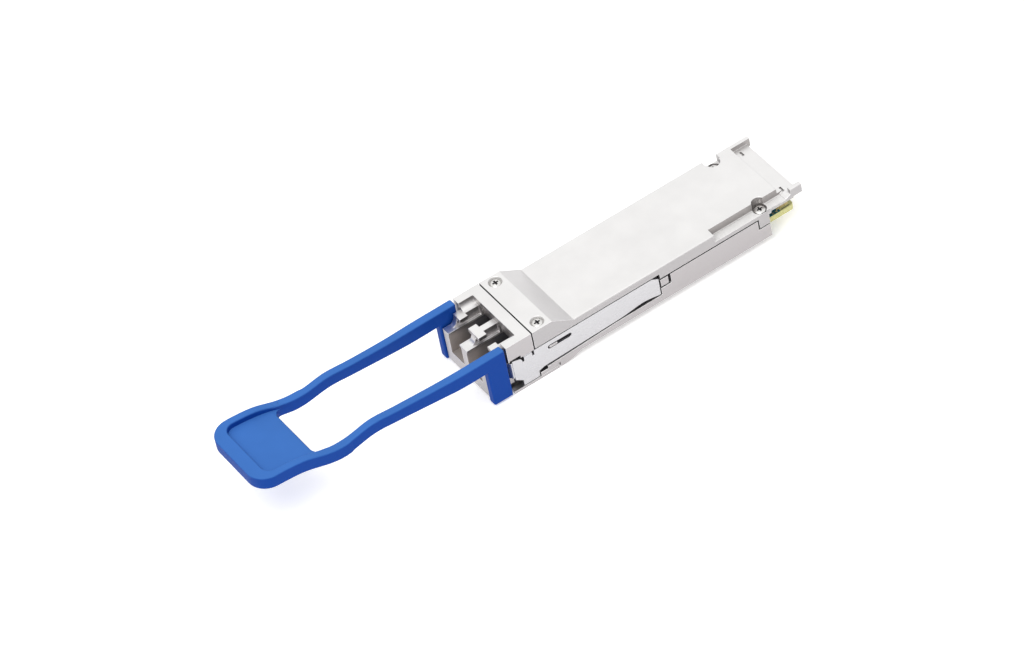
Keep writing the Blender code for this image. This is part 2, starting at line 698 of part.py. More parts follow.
def optics(side, kind):
    receptacle_barrel(side, kind)
    ferrule_sleeve(side, kind)
    optical_package(side, kind)
    flex_circuit(side, kind)


# ---- Board and what is soldered on it ------------------------------------------------------------

def main_board():
    notch_front = LEG_FRONT - 0.25
    notch_rear = SHELL_REAR + 0.3
    half = [(BOARD_FRONT_HALF, BOARD_FRONT), (BOARD_FRONT_HALF, 33.2), (BOARD_HALF, 33.2),
            (BOARD_HALF, notch_front), (6.6, notch_front), (6.6, notch_rear), (BOARD_HALF, notch_rear),
            (BOARD_HALF, BOARD_REAR - 0.5), (BOARD_HALF - 0.5, BOARD_REAR)]
    outline = [*half, *[(-x, y) for x, y in reversed(half)]]
    board = prism("main_board", outline, "plan", BOARD_BOTTOM, BOARD_TOP, collection=PARTS)
    return finish_part(board, "board")


def board_component(name, centre, size, height, finish):
    base = BOARD_TOP + 0.05
    part = box(name, (centre[0] - size[0] / 2, centre[0] + size[0] / 2),
               (centre[1] - size[1] / 2, centre[1] + size[1] / 2), (base, base + height), PARTS)
    round_off(part, 0.08)
    return finish_part(part, finish)


def board_components():
    board_component("laser_driver_chip", (-3.6, 28.0), (5.0, 5.0), 0.9, "chip_black")
    board_component("receiver_chip", (3.4, 28.0), (5.0, 5.0), 0.9, "chip_black")
    board_component("controller_chip", (0, 38.5), (5.0, 5.0), 0.85, "chip_black")
    board_component("memory_chip", (4.6, 46.5), (2.0, 3.0), 0.75, "chip_black")
    board_component("power_inductor_left", (-5.4, 37.0), (2.5, 2.5), 1.2, "chip_black")
    board_component("power_inductor_right", (5.4, 37.0), (2.5, 2.5), 1.2, "chip_black")
    for index, x in enumerate((-4.5, -1.5, 1.5)):
        board_component("bulk_capacitor_%d" % (index + 1), (x, 46.5), (1.6, 0.9), 0.9, "zirconia")


def thermal_pads():
    under_roof = ROOF - SKIN - 0.05
    chip_pad = box("chip_thermal_pad", (-6.0, 6.0), (25.6, 30.4), (BOARD_TOP + 1.0, under_roof), PARTS)
    finish_part(chip_pad, "thermal_pad")
    optics_pad = box("optics_thermal_pad", (-5.8, 5.8), (10.2, 15.6), (7.0, under_roof), PARTS)
    finish_part(optics_pad, "thermal_pad")
    floor_pad = box("floor_thermal_pad", (-5.8, 5.8), (6.5, 15.6), (SKIN + 0.05, 1.9), PARTS)
    finish_part(floor_pad, "thermal_pad")


def build():
    bottom_shell()
    top_cover()
    nose_base_plate()
    latch_slider()
    pull_tab()
    both_sides(return_spring)
    both_sides(cover_screws)
    optics(-1, "transmitter")
    optics(1, "receiver")
    receptacle_clamp()
    shield_gasket()
    main_board()
    board_components()
    thermal_pads()


build()
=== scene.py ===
"""Looks of the pluggable optical transceiver module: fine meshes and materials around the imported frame.

Lengths are millimetres in the part's own datums: "station" runs from the seam between nose and cover (0)
towards the edge connector (+), and height is measured from the flat underside. Blender units are metres.
"""
import json
import math

import bmesh
import bpy
from mathutils import Matrix, Vector


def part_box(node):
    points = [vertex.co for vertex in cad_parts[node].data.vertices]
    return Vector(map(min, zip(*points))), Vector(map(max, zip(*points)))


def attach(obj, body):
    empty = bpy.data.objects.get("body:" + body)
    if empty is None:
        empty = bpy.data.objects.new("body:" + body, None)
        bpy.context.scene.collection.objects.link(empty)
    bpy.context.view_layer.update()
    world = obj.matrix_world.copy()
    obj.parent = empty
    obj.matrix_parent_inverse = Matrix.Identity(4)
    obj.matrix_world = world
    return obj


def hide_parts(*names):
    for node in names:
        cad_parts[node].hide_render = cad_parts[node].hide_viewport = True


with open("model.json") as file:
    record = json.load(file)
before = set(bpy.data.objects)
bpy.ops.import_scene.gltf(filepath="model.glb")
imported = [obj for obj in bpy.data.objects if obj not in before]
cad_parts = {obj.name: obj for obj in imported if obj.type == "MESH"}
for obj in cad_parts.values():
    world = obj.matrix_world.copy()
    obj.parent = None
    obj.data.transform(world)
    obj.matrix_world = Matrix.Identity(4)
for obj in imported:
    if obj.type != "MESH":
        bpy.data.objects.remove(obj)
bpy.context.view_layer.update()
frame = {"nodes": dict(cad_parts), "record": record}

MM = 0.001
ORIGIN_STATION = 32.5
MERGE = 0.00003


def station_of(y):
    return y / MM + ORIGIN_STATION


# ---- Sizes: read from the frame where a node gives them ----

SHELL_LOW, SHELL_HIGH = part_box("bottom_shell")
COVER_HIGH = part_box("top_cover")[1]
TAB_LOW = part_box("pull_tab")[0]
BOARD_LOW, BOARD_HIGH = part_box("main_board")
SLIDER_LOW, SLIDER_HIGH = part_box("latch_slider")

# The housing as a whole: the head is the raised part of the cover, the nose is in front of it.
HALF_WIDTH = SHELL_HIGH.x / MM
HEAD_TOP = COVER_HIGH.z / MM
SHELL_REAR = station_of(SHELL_HIGH.y)
NOSE_FRONT = station_of(SHELL_LOW.y)
EAR_REAR = station_of(COVER_HIGH.y)
ROOF = 8.5
ROOF_REAR = 62.8
ROOF_STEP = 59.1
HEAD_BOTTOM = -0.65
PLATE_BOTTOM = -1.3
SKIN = 1.0
EDGE_ROUNDING = 0.06

# The nose: its deck, the keepers for the plugs' latches, the ports and the slots above them.
NOSE_HALF = 7.15
WALL_FRONT = -5.9
DECK = 7.5
POST_TOP = 9.6
KEEPER_BOTTOM = 8.7
OPENING_HALF = 7.26
OPENING_REAR = -2.5
SWEEP_FOOT = -8.95
PORT_INNER = 0.9
PORT_OUTER = 5.35
PORT_FLOOR = 2.2
PORT_CEILING = 7.0
SLOT_INNER = 1.3
SLOT_OUTER = 5.1
FIBRE_X = 3.125
FIBRE_Z = 4.45

# Where the cover meets the shell, and the cover's legs and ledge.
SEAM_FRONT = 6.95
SEAM_REAR = 5.75
SEAM_GAP = 0.25
SLIDER_END = 29.3
LEG_FRONT = 52.95
LEG_BOTTOM = 3.4
LEDGE_INNER = 7.05
LEDGE_HEIGHT = 6.7
EAR_INNER = 8.2

# The slider's sheet and the recess it slides in.
SHEET = 0.5
SLIDER_OUTER = SLIDER_HIGH.x / MM
RECESS_FACE = 8.5
BRIDGE_TOP = -0.07
BRIDGE_BOTTOM = SLIDER_LOW.z / MM
BRIDGE_SLOT = (-7.05, 0.4)
GUIDE_HEIGHT = 5.2
SPRING_FRONT = 10.05

# The pull tab: its legs stand beside the nose, and its grip has a window behind it.
TAB_FRONT = station_of(TAB_LOW.y)
TAB_HALF = 9.47
TAB_TOP = 14.1
TAB_UNDERSIDE = 11.1
TRAY_START = -45.5
TRAY_FLOOR = 12.8
WINDOW_END = -48.55
ARM_REAR = -6.35
LEG_FRONT_STATION = -10.7
LEG_FOOT = TAB_LOW.z / MM

# The circuit board and the chambers it lies in.
BOARD_BOTTOM = BOARD_LOW.z / MM
BOARD_TOP = BOARD_HIGH.z / MM
BOARD_HALF = BOARD_HIGH.x / MM
BOARD_FRONT = station_of(BOARD_LOW.y)
BOARD_REAR = station_of(BOARD_HIGH.y)
BOARD_FRONT_HALF = 7.1
BOARD_STEP = 33.2
NOTCH_INNER = 6.6
CAVITY_HALF = 8.4
CAVITY_FRONT_HALF = 7.25

# Each screw's width and station, and the number of segments in a full circle.
FRONT_SCREW = (7.2, 2.75)
REAR_SCREW = (7.65, 54.4)
ROUND = 48

# Faces smaller than this many square millimetres count as rounding, and are shaded smooth.
FLAT_FACE_MM2 = 0.12
ALL_SMOOTH_MM2 = 1000.0

PARTS = bpy.data.collections.new("optical_transceiver_module")
bpy.context.scene.collection.children.link(PARTS)


# ---- Shape helpers ----

def spot(x, station, z):
    """A point in metres from a width, a station and a height in millimetres."""
    return Vector((x, station - ORIGIN_STATION, z)) * MM


def sided(side, points):
    """An outline drawn for the right side, on either side: 1 is right and -1 is left."""
    return [(side * x, y) for x, y in points]


def mirrored(half):
    """A closed outline from its right half, given as (x, y) points."""
    return [*half, *sided(-1, reversed(half))]


def add_object(name, shape):
    """Turn a finished bmesh into an object."""
    mesh = bpy.data.meshes.new(name)
    shape.to_mesh(mesh)
    shape.free()
    item = bpy.data.objects.new(name, mesh)
    PARTS.objects.link(item)
    return item


def add_block(shape, low, high):
    """Add a block between two corners to a bmesh."""
    grown = bmesh.ops.create_cube(shape, size=1.0)["verts"]
    bmesh.ops.scale(shape, vec=high - low, verts=grown)
    bmesh.ops.translate(shape, vec=(low + high) / 2, verts=grown)


def box(name, x_range, y_range, z_range):
    """A block between two widths, two stations and two heights."""
    shape = bmesh.new()
    add_block(shape, *(spot(*corner) for corner in zip(x_range, y_range, z_range)))
    return add_object(name, shape)


def cylinder(name, centre, radius, z_range):
    """An upright cylinder at (x, station)."""
    shape = bmesh.new()
    depth = (z_range[1] - z_range[0]) * MM
    bmesh.ops.create_cone(shape, cap_ends=True, segments=ROUND, radius1=radius * MM,
                          radius2=radius * MM, depth=depth)
    middle = spot(centre[0], centre[1], (z_range[0] + z_range[1]) / 2)
    bmesh.ops.translate(shape, vec=middle, verts=shape.verts)
    return add_object(name, shape)


PLANES = {
    "plan": spot,
    "side": lambda a, b, depth: spot(depth, a, b),
    "front": lambda a, b, depth: spot(a, depth, b),
}


def prism(name, outline, plane, low, high):
    """An outline given thickness: plan is (x, station), side (station, z), front (x, z)."""
    place = PLANES[plane]
    shape = bmesh.new()
    base = [shape.verts.new(place(a, b, low)) for a, b in outline]
    face = shape.faces.new(base)
    grown = bmesh.ops.extrude_face_region(shape, geom=[face])
    moved = [part for part in grown["geom"] if isinstance(part, bmesh.types.BMVert)]
    step = place(0, 0, high) - place(0, 0, low)
    bmesh.ops.translate(shape, vec=step, verts=moved)
    bmesh.ops.recalc_face_normals(shape, faces=shape.faces)
    return add_object(name, shape)


def arc(centre, radius, start, end, steps):
    """Points along an arc, with angles in degrees."""
    points = []
    for index in range(steps + 1):
        angle = math.radians(start + (end - start) * index / steps)
        points.append((centre[0] + radius * math.cos(angle), centre[1] + radius * math.sin(angle)))
    return points


def smooth_path(knots, steps):
    """Points on a Catmull-Rom curve through the knots."""
    points = []
    padded = [knots[0], *knots, knots[-1]]
    for index in range(1, len(padded) - 2):
        before, start, end, after = (Vector(knot) for knot in padded[index - 1:index + 3])
        for step in range(steps):
            t = step / steps
            value = 0.5 * (2 * start + (end - before) * t
                           + (2 * before - 5 * start + 4 * end - after) * t ** 2
                           + (3 * start - before - 3 * end + after) * t ** 3)
            points.append(tuple(value))
    points.append(tuple(knots[-1]))
    return points


def span(side, inner, outer):
    """A width range on one side of the middle, in rising order."""
    return tuple(sorted((side * inner, side * outer)))


def boolean(item, others, operation):
    """Add, subtract or intersect pieces, which are used up by it."""
    for other in others:
        change = item.modifiers.new(other.name, "BOOLEAN")
        change.operation = operation
        change.solver = "EXACT"
        change.object = other
    settle(item)
    for other in others:
        bpy.data.objects.remove(other)


def join(item, *others):
    boolean(item, others, "UNION")


def cut(item, *others):
    boolean(item, others, "DIFFERENCE")


def keep(item, other):
    boolean(item, [other], "INTERSECT")


def settle(item):
    """Apply the modifiers to the mesh."""
    bpy.context.view_layer.update()
    graph = bpy.context.evaluated_depsgraph_get()
    mesh = bpy.data.meshes.new_from_object(item.evaluated_get(graph))
    item.modifiers.clear()
    item.data = mesh
    return item


def tidy_mesh(item, flat_angle=0.5):
    """Merge stray points and turn coplanar faces back into one face each."""
    shape = bmesh.new()
    shape.from_mesh(item.data)
    bmesh.ops.remove_doubles(shape, verts=shape.verts, dist=MERGE)
    bmesh.ops.dissolve_degenerate(shape, edges=shape.edges, dist=MERGE)
    bmesh.ops.dissolve_limit(shape, angle_limit=math.radians(flat_angle), verts=shape.verts,
                             edges=shape.edges)
    stray = [edge for edge in shape.edges if not edge.link_faces]
    bmesh.ops.delete(shape, geom=stray, context="EDGES")
    shape.to_mesh(item.data)
    shape.free()
    return item


def soften(item, width, segments=2, angle=20, flat_mm2=FLAT_FACE_MM2):
    """Round every crisp edge of a hard piece, with clean highlights on the flats."""
    tidy_mesh(item)
    bevel = item.modifiers.new("rounded_edges", "BEVEL")
    bevel.width = width * MM
    bevel.segments = segments
    bevel.limit_method = "ANGLE"
    bevel.angle_limit = math.radians(angle)
    bevel.use_clamp_overlap = False
    settle(item)
    return shade_clean(item, flat_mm2)


def shade_clean(item, flat_mm2, large_mm2=0.8):
    """Smooth shading that leaves large flat faces flat and never blends two of them together."""
    large = large_mm2 * MM ** 2
    shape = bmesh.new()
    shape.from_mesh(item.data)
    for face in shape.faces:
        face.smooth = face.calc_area() < flat_mm2 * MM ** 2
    for edge in shape.edges:
        if len(edge.link_faces) == 2:
            turn = edge.calc_face_angle(0.0)
            both_large = min(face.calc_area() for face in edge.link_faces) > large
            edge.smooth = turn < math.radians(50) and not (both_large and turn > math.radians(12))
    shape.to_mesh(item.data)
    shape.free()
    weighted = item.modifiers.new("flat_faces_stay_flat", "WEIGHTED_NORMAL")
    weighted.keep_sharp = True
    return settle(item)


def recolour(item, finish, chosen):
    """Give another finish to the faces for which chosen(width, station, height, normal) is true."""
    item.data.materials.append(finish)
    index = len(item.data.materials) - 1
    for face in item.data.polygons:
        centre = face.center / MM
        if chosen(abs(centre.x), centre.y + ORIGIN_STATION, centre.z, face.normal):
            face.material_index = index


def dress(item, finish, body, slot, *nodes):
    """Give a piece its material and body, and let it stand for CAD nodes."""
    item.data.materials.clear()
    item.data.materials.append(finish)
    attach(item, body)
    if nodes:
        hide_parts(*nodes)
    return item


# ---- Materials ----

class Surface:
    """A Principled material with a few short ways to add procedural detail, in object coordinates."""

    def __init__(self, name, colour, roughness, metallic=0.0):
        self.material = bpy.data.materials.new(name)
        self.material.use_nodes = True
        self.tree = self.material.node_tree
        self.shader = self.tree.nodes["Principled BSDF"]
        self.shader.inputs["Base Color"].default_value = (*colour, 1.0)
        self.shader.inputs["Roughness"].default_value = roughness
        self.shader.inputs["Metallic"].default_value = metallic
        self.place = self.node("ShaderNodeTexCoord").outputs["Object"]

    def node(self, kind):
        return self.tree.nodes.new(kind)

    def link(self, source, target):
        self.tree.links.new(source, target)

    def mapped(self, stretch):
        mapping = self.node("ShaderNodeMapping")
        mapping.inputs["Scale"].default_value = stretch
        self.link(self.place, mapping.inputs["Vector"])
        return mapping.outputs["Vector"]

    def noise(self, size_mm, detail, stretch=(1, 1, 1)):
        """Noise whose features are about size_mm across."""
        noise = self.node("ShaderNodeTexNoise")
        noise.inputs["Scale"].default_value = 1 / (size_mm * MM)
        noise.inputs["Detail"].default_value = detail
        self.link(self.mapped(stretch), noise.inputs["Vector"])
        return noise.outputs["Fac"]

    def spread(self, value, from_range=(0.3, 0.7), to_range=(0, 1)):
        """One range of values stretched onto another."""
        remap = self.node("ShaderNodeMapRange")
        for socket, end in zip(("From Min", "From Max", "To Min", "To Max"), (*from_range, *to_range)):
            remap.inputs[socket].default_value = end
        self.link(value, remap.inputs["Value"])
        return remap.outputs["Result"]

    def mixer(self, value, colour_b):
        mix = self.node("ShaderNodeMix")
        mix.data_type = "RGBA"
        mix.inputs["B"].default_value = (*colour_b, 1.0)
        self.link(value, mix.inputs["Factor"])
        return mix

    def tint(self, value, colour_a, colour_b):
        """From one plain colour to another."""
        mix = self.mixer(value, colour_b)
        mix.inputs["A"].default_value = (*colour_a, 1.0)
        return mix.outputs["Result"]

    def blend(self, value, source_a, colour_b):
        """From a colour worked out by other nodes to a plain one."""
        mix = self.mixer(value, colour_b)
        self.link(source_a, mix.inputs["A"])
        return mix.outputs["Result"]

    def add_bump(self, value, depth_mm):
        bump = self.node("ShaderNodeBump")
        bump.inputs["Strength"].default_value = 1.0
        bump.inputs["Distance"].default_value = depth_mm * MM
        self.link(value, bump.inputs["Height"])
        self.link(bump.outputs["Normal"], self.shader.inputs["Normal"])

    def set(self, socket, value):
        self.link(value, self.shader.inputs[socket])

    def painted_side_shade(self):
        """Where the painted side shade goes: 1 on faces that look sideways or down, 0 on faces that look up.
        """
        normal = self.node("ShaderNodeNewGeometry").outputs["True Normal"]
        split = self.node("ShaderNodeSeparateXYZ")
        self.link(normal, split.inputs["Vector"])
        return self.spread(split.outputs["Z"], (0.1, 0.85), (1.0, 0.0))

    def edges(self):
        """1 on edges rubbed bright, 0 on the flats between them."""
        rounded = self.node("ShaderNodeBevel")
        rounded.inputs["Radius"].default_value = 0.12 * MM
        likeness = self.node("ShaderNodeVectorMath")
        likeness.operation = "DOT_PRODUCT"
        self.link(rounded.outputs["Normal"], likeness.inputs[0])
        self.link(self.node("ShaderNodeNewGeometry").outputs["Normal"], likeness.inputs[1])
        return self.spread(likeness.outputs["Value"], (0.99, 0.9), (0.0, 1.0))


def scaled(colour, factor):
    return tuple(min(1.0, channel * factor) for channel in colour)


def plated_metal(name, colour, roughness, grain_mm, grain_depth_mm, side_shade_colour=None):
    """Die casting with satin nickel plate: fine grain, faint clouding, painted shade on the flanks when a
    side shade colour is given, polished edges.
    """
    surface = Surface(name, colour, roughness, 1.0)
    cloud = surface.spread(surface.noise(6.0, 3.0))
    tone = surface.tint(cloud, scaled(colour, 0.965), scaled(colour, 1.02))
    if side_shade_colour is not None:
        tone = surface.blend(surface.painted_side_shade(), tone, side_shade_colour)
    surface.set("Base Color", surface.blend(surface.edges(), tone, scaled(colour, 1.1)))
    fine = surface.noise(0.35, 2.0)
    surface.set("Roughness", surface.spread(fine, (0.25, 0.75), (roughness - 0.06, roughness + 0.06)))
    surface.add_bump(surface.noise(grain_mm, 2.0), grain_depth_mm)
    return surface.material


def shaded_port_casting(name, front, deep):
    """Inside the ports: brown-grey near the mouth, far darker than the plated outside as painted shade, and
    darker and duller towards the back as painted shade that deepens with depth.
    """
    surface = Surface(name, front, 0.55, 0.55)
    split = surface.node("ShaderNodeSeparateXYZ")
    surface.link(surface.place, split.inputs["Vector"])
    start = (NOSE_FRONT + 2.0 - ORIGIN_STATION) * MM
    end = (OPENING_REAR - 1.0 - ORIGIN_STATION) * MM
    # Painted shade: the colour darkens from the mouth of the ports towards the back.
    depth = surface.spread(split.outputs["Y"], (start, end), (0.0, 1.0))
    cloud = surface.spread(surface.noise(1.5, 3.0))
    tone = surface.tint(cloud, scaled(front, 0.9), scaled(front, 1.1))
    surface.set("Base Color", surface.blend(depth, tone, deep))
    lines = surface.noise(0.2, 2.0, (1, 0.1, 1))
    surface.set("Roughness", surface.spread(lines, (0.3, 0.7), (0.48, 0.62)))
    surface.add_bump(lines, 0.004)
    return surface.material


def rolled_sheet(name, colour, roughness, side_shade_colour=None):
    """Stamped sheet: fine rolling lines along the module and a soft satin, with painted shade on the flanks
    when a side shade colour is given.
    """
    surface = Surface(name, colour, roughness, 1.0)
    lines = surface.noise(0.1, 2.0, (1, 0.02, 1))
    cloud = surface.spread(surface.noise(5.0, 2.0, (1, 0.3, 1)))
    tone = surface.tint(cloud, scaled(colour, 0.98), scaled(colour, 1.02))
    if side_shade_colour is not None:
        tone = surface.blend(surface.painted_side_shade(), tone, side_shade_colour)
    surface.set("Base Color", tone)
    surface.set("Roughness", surface.spread(lines, (0.3, 0.7), (roughness - 0.04, roughness + 0.05)))
    surface.add_bump(lines, 0.0004)
    return surface.material


def bright_screw(name):
    """Polished steel with faint turning marks."""
    surface = Surface(name, (0.83, 0.82, 0.8), 0.2, 1.0)
    rings = surface.noise(0.15, 3.0)
    surface.set("Roughness", surface.spread(rings, (0.3, 0.7), (0.14, 0.3)))
    surface.add_bump(rings, 0.003)
    return surface.material


def moulded_plastic(name, colour, side_shade_colour, roughness):
    """Injection-moulded plastic with a fine spark-eroded texture, and painted shade that deepens its tone on
    the flanks.
    """
    surface = Surface(name, colour, roughness)
    cloud = surface.spread(surface.noise(9.0, 2.0))
    tone = surface.tint(cloud, scaled(colour, 0.96), scaled(colour, 1.05))
    surface.set("Base Color", surface.blend(surface.painted_side_shade(), tone, side_shade_colour))
    grain = surface.noise(0.16, 2.0)
    surface.set("Roughness", surface.spread(grain, (0.3, 0.7), (roughness - 0.07, roughness + 0.09)))
    surface.add_bump(grain, 0.006)
    surface.shader.inputs["Specular IOR Level"].default_value = 0.08
    return surface.material


def speckled(name, colour, other, roughness, size_mm, depth_mm, metallic=0.0):
    """An uneven small-scale surface: ceramic, foam, epoxy, film."""
    surface = Surface(name, colour, roughness, metallic)
    spots = surface.noise(size_mm, 4.0)
    mixture = surface.spread(spots, (0.35, 0.65), (0, 1))
    surface.set("Base Color", surface.tint(mixture, colour, other))
    surface.set("Roughness", surface.spread(spots, (0.3, 0.7), (roughness - 0.08, roughness + 0.08)))
    surface.add_bump(spots, depth_mm)
    return surface.material


# For the shell, cover, recess wall and slider metals, the last colour is painted shade for their flanks:
# sides darker than tops.
SHELL_METAL = plated_metal("shell_metal", (0.93, 0.92, 0.91), 0.36, 0.12, 0.004, (0.47, 0.448, 0.453))
COVER_METAL = plated_metal("cover_metal", (0.94, 0.93, 0.92), 0.4, 0.1, 0.003, (0.45, 0.436, 0.44))
# Port walls: brown-grey with painted shade, darkening towards the back.
PORT_SHADED_METAL = shaded_port_casting("port_metal_painted_shade", (0.42, 0.375, 0.35), (0.16, 0.155, 0.165))
# Recess walls: a little darker than the plate, as painted shade.
RECESS_SHADE_METAL = plated_metal("recess_wall_painted_shade", (0.85, 0.84, 0.83), 0.45, 0.1, 0.003, (0.42, 0.4, 0.395))
BLASTED_METAL = speckled("blasted_metal", (0.82, 0.81, 0.8), (0.88, 0.87, 0.86), 0.6, 0.3, 0.003, 0.35)
# Near-black painted shadow for the gaps, behind the slider and in the screws' cross recesses.
GAP_SHADOW_PAINT = speckled("painted_gap_shadow", (0.035, 0.033, 0.038), (0.06, 0.057, 0.062), 0.7, 0.3, 0.003, 0.3)
SLIDER_METAL = rolled_sheet("slider_metal", (0.84, 0.84, 0.87), 0.3, (0.58, 0.575, 0.59))
SCREW_METAL = bright_screw("screw_metal")
SPRING_STEEL = rolled_sheet("spring_steel", (0.66, 0.66, 0.68), 0.3)
BARREL_STEEL = rolled_sheet("barrel_steel", (0.62, 0.62, 0.63), 0.25)
# The tab's second colour is painted shade for its flanks.
TAB_PLASTIC = moulded_plastic("tab_plastic", (0.045, 0.158, 0.49), (0.005, 0.054, 0.31), 0.5)
BOARD_MASK = speckled("board_mask", (0.008, 0.1, 0.12), (0.012, 0.16, 0.18), 0.35, 0.9, 0.006)
BOARD_LAMINATE = speckled("board_laminate", (0.55, 0.53, 0.2), (0.66, 0.64, 0.3), 0.55, 0.3, 0.004)
GOLD = plated_metal("contact_gold", (1.0, 0.83, 0.4), 0.3, 0.1, 0.002)
CERAMIC = speckled("ceramic", (0.82, 0.8, 0.74), (0.88, 0.87, 0.83), 0.25, 0.3, 0.002)
FLEX_FILM = speckled("flex_film", (0.42, 0.17, 0.03), (0.52, 0.24, 0.05), 0.35, 1.2, 0.003)
CHIP_EPOXY = speckled("chip_epoxy", (0.015, 0.015, 0.016), (0.03, 0.03, 0.032), 0.5, 0.15, 0.006)
FOAM = speckled("gasket_foam", (0.03, 0.03, 0.03), (0.07, 0.07, 0.07), 0.85, 0.2, 0.03)
GAP_FILLER = speckled("gap_filler", (0.36, 0.42, 0.5), (0.44, 0.5, 0.58), 0.7, 0.35, 0.02)


# ---- Camera, floor and light ----

AZIMUTH = 64.628
ELEVATION = 44.615
ROLL = -12.366
DISTANCE = 1.21903
LENS = 223.161
AIM = spot(0.038, 0.652, 5.0)


def place_camera():
    """A long lens above the near side, turned about its own axis as the module lies in the frame."""
    data = bpy.data.cameras.new("camera")
    data.sensor_width = 36.0
    data.lens = LENS
    data.clip_start = 0.01
    camera = bpy.data.objects.new("camera", data)
    bpy.context.scene.collection.objects.link(camera)
    azimuth = math.radians(AZIMUTH)
    elevation = math.radians(ELEVATION)
    back = Vector((math.cos(elevation) * math.sin(azimuth), -math.cos(elevation) * math.cos(azimuth),
                   math.sin(elevation)))
    right = Vector((0, 0, 1)).cross(back).normalized()
    up = back.cross(right)
    turn = Matrix.Rotation(math.radians(ROLL), 3, back)
    axes = Matrix((turn @ right, turn @ up, back)).transposed()
    camera.matrix_world = Matrix.Translation(AIM + back * DISTANCE) @ axes.to_4x4()
    bpy.context.scene.camera = camera


def studio():
    """A pale surrounding that darkens towards the horizon, and one soft lamp from the front."""
    scene = bpy.context.scene
    scene.view_settings.view_transform = "Standard"
    world = bpy.data.worlds.new("studio")
    scene.world = world
    world.use_nodes = True
    tree = world.node_tree
    background = tree.nodes["Background"]
    coordinates = tree.nodes.new("ShaderNodeTexCoord")
    split = tree.nodes.new("ShaderNodeSeparateXYZ")
    ramp = tree.nodes.new("ShaderNodeValToRGB")
    ramp.color_ramp.elements[0].position = 0.0
    ramp.color_ramp.elements[0].color = (0.36, 0.35, 0.37, 1)
    ramp.color_ramp.elements[1].position = 0.6
    ramp.color_ramp.elements[1].color = (0.98, 0.98, 0.98, 1)
    for source, target in ((coordinates.outputs["Generated"], split.inputs["Vector"]),
                           (split.outputs["Z"], ramp.inputs["Fac"]),
                           (ramp.outputs["Color"], background.inputs["Color"])):
        tree.links.new(source, target)
    background.inputs["Strength"].default_value = 1.0
    add_key_light(Vector((0.25, -0.35, 0.8)), 0.5, 2.5)


def add_key_light(place, size, power):
    """A round lamp that looks at the origin."""
    data = bpy.data.lights.new("key", "AREA")
    data.shape = "DISK"
    data.size = size
    data.energy = power
    lamp = bpy.data.objects.new("key", data)
    lamp.location = place
    lamp.rotation_euler = (-place).to_track_quat("-Z", "Y").to_euler()
    bpy.context.scene.collection.objects.link(lamp)


def floor():
    """Pale paper just under the base plate, lit a little from within so that shadows stay faint."""
    half = 1.5
    top = (PLATE_BOTTOM - 0.02) * MM
    shape = bmesh.new()
    bmesh.ops.create_grid(shape, x_segments=8, y_segments=8, size=half)
    bmesh.ops.translate(shape, vec=(0, 0, top), verts=shape.verts)
    mesh = bpy.data.meshes.new("floor")
    shape.to_mesh(mesh)
    shape.free()
    item = bpy.data.objects.new("floor", mesh)
    bpy.context.scene.collection.objects.link(item)
    paper = Surface("floor_paper", (0.93, 0.93, 0.93), 0.8)
    paper.shader.inputs["Specular IOR Level"].default_value = 0.1
    paper.shader.inputs["Emission Color"].default_value = (1.0, 0.99, 0.98, 1.0)
    paper.shader.inputs["Emission Strength"].default_value = 0.32
    mesh.materials.append(paper.material)


# ---- Bottom shell ----

def shell_blank():
    """The solid outside of the shell, before anything is cut into it."""
    full = (-HALF_WIDTH, HALF_WIDTH)
    shell = box("shell_casting", full, (-0.5, SHELL_REAR), (0, SEAM_REAR - SEAM_GAP))
    ramp = [(4.95, -1.2), *arc((5.3, 7.85), 9.05, -90, -60, 12)[1:], (10.0, 0.5), (4.95, 0.5)]
    join(shell,
         box("inner_walls", (-RECESS_FACE, RECESS_FACE), (-0.5, SLIDER_END - 0.1),
             (0.5, SEAM_FRONT - SEAM_GAP)),
         box("head_block", full, (WALL_FRONT, 0), (HEAD_BOTTOM, HEAD_TOP)),
         box("nose_block", (-NOSE_HALF, NOSE_HALF), (NOSE_FRONT, -5.5), (HEAD_BOTTOM, DECK)),
         box("head_floor", full, (-0.5, 4.5), (HEAD_BOTTOM, 1.0)),
         prism("underside_ramp", ramp, "side", -HALF_WIDTH, HALF_WIDTH))
    return shell


def shell_cavity(shell):
    """Four chambers in a row, open to the top."""
    heights = (SKIN, 12)
    cut(shell,
        box("receptacle_chamber", (-6.2, 6.2), (0.8, 9.2), heights),
        box("optics_chamber", (-6.4, 6.4), (9.0, 19.3), heights),
        box("board_chamber_front", (-CAVITY_FRONT_HALF, CAVITY_FRONT_HALF), (19.2, 33.1), heights),
        box("board_chamber_rear", (-CAVITY_HALF, CAVITY_HALF), (33.0, 56.0), heights))


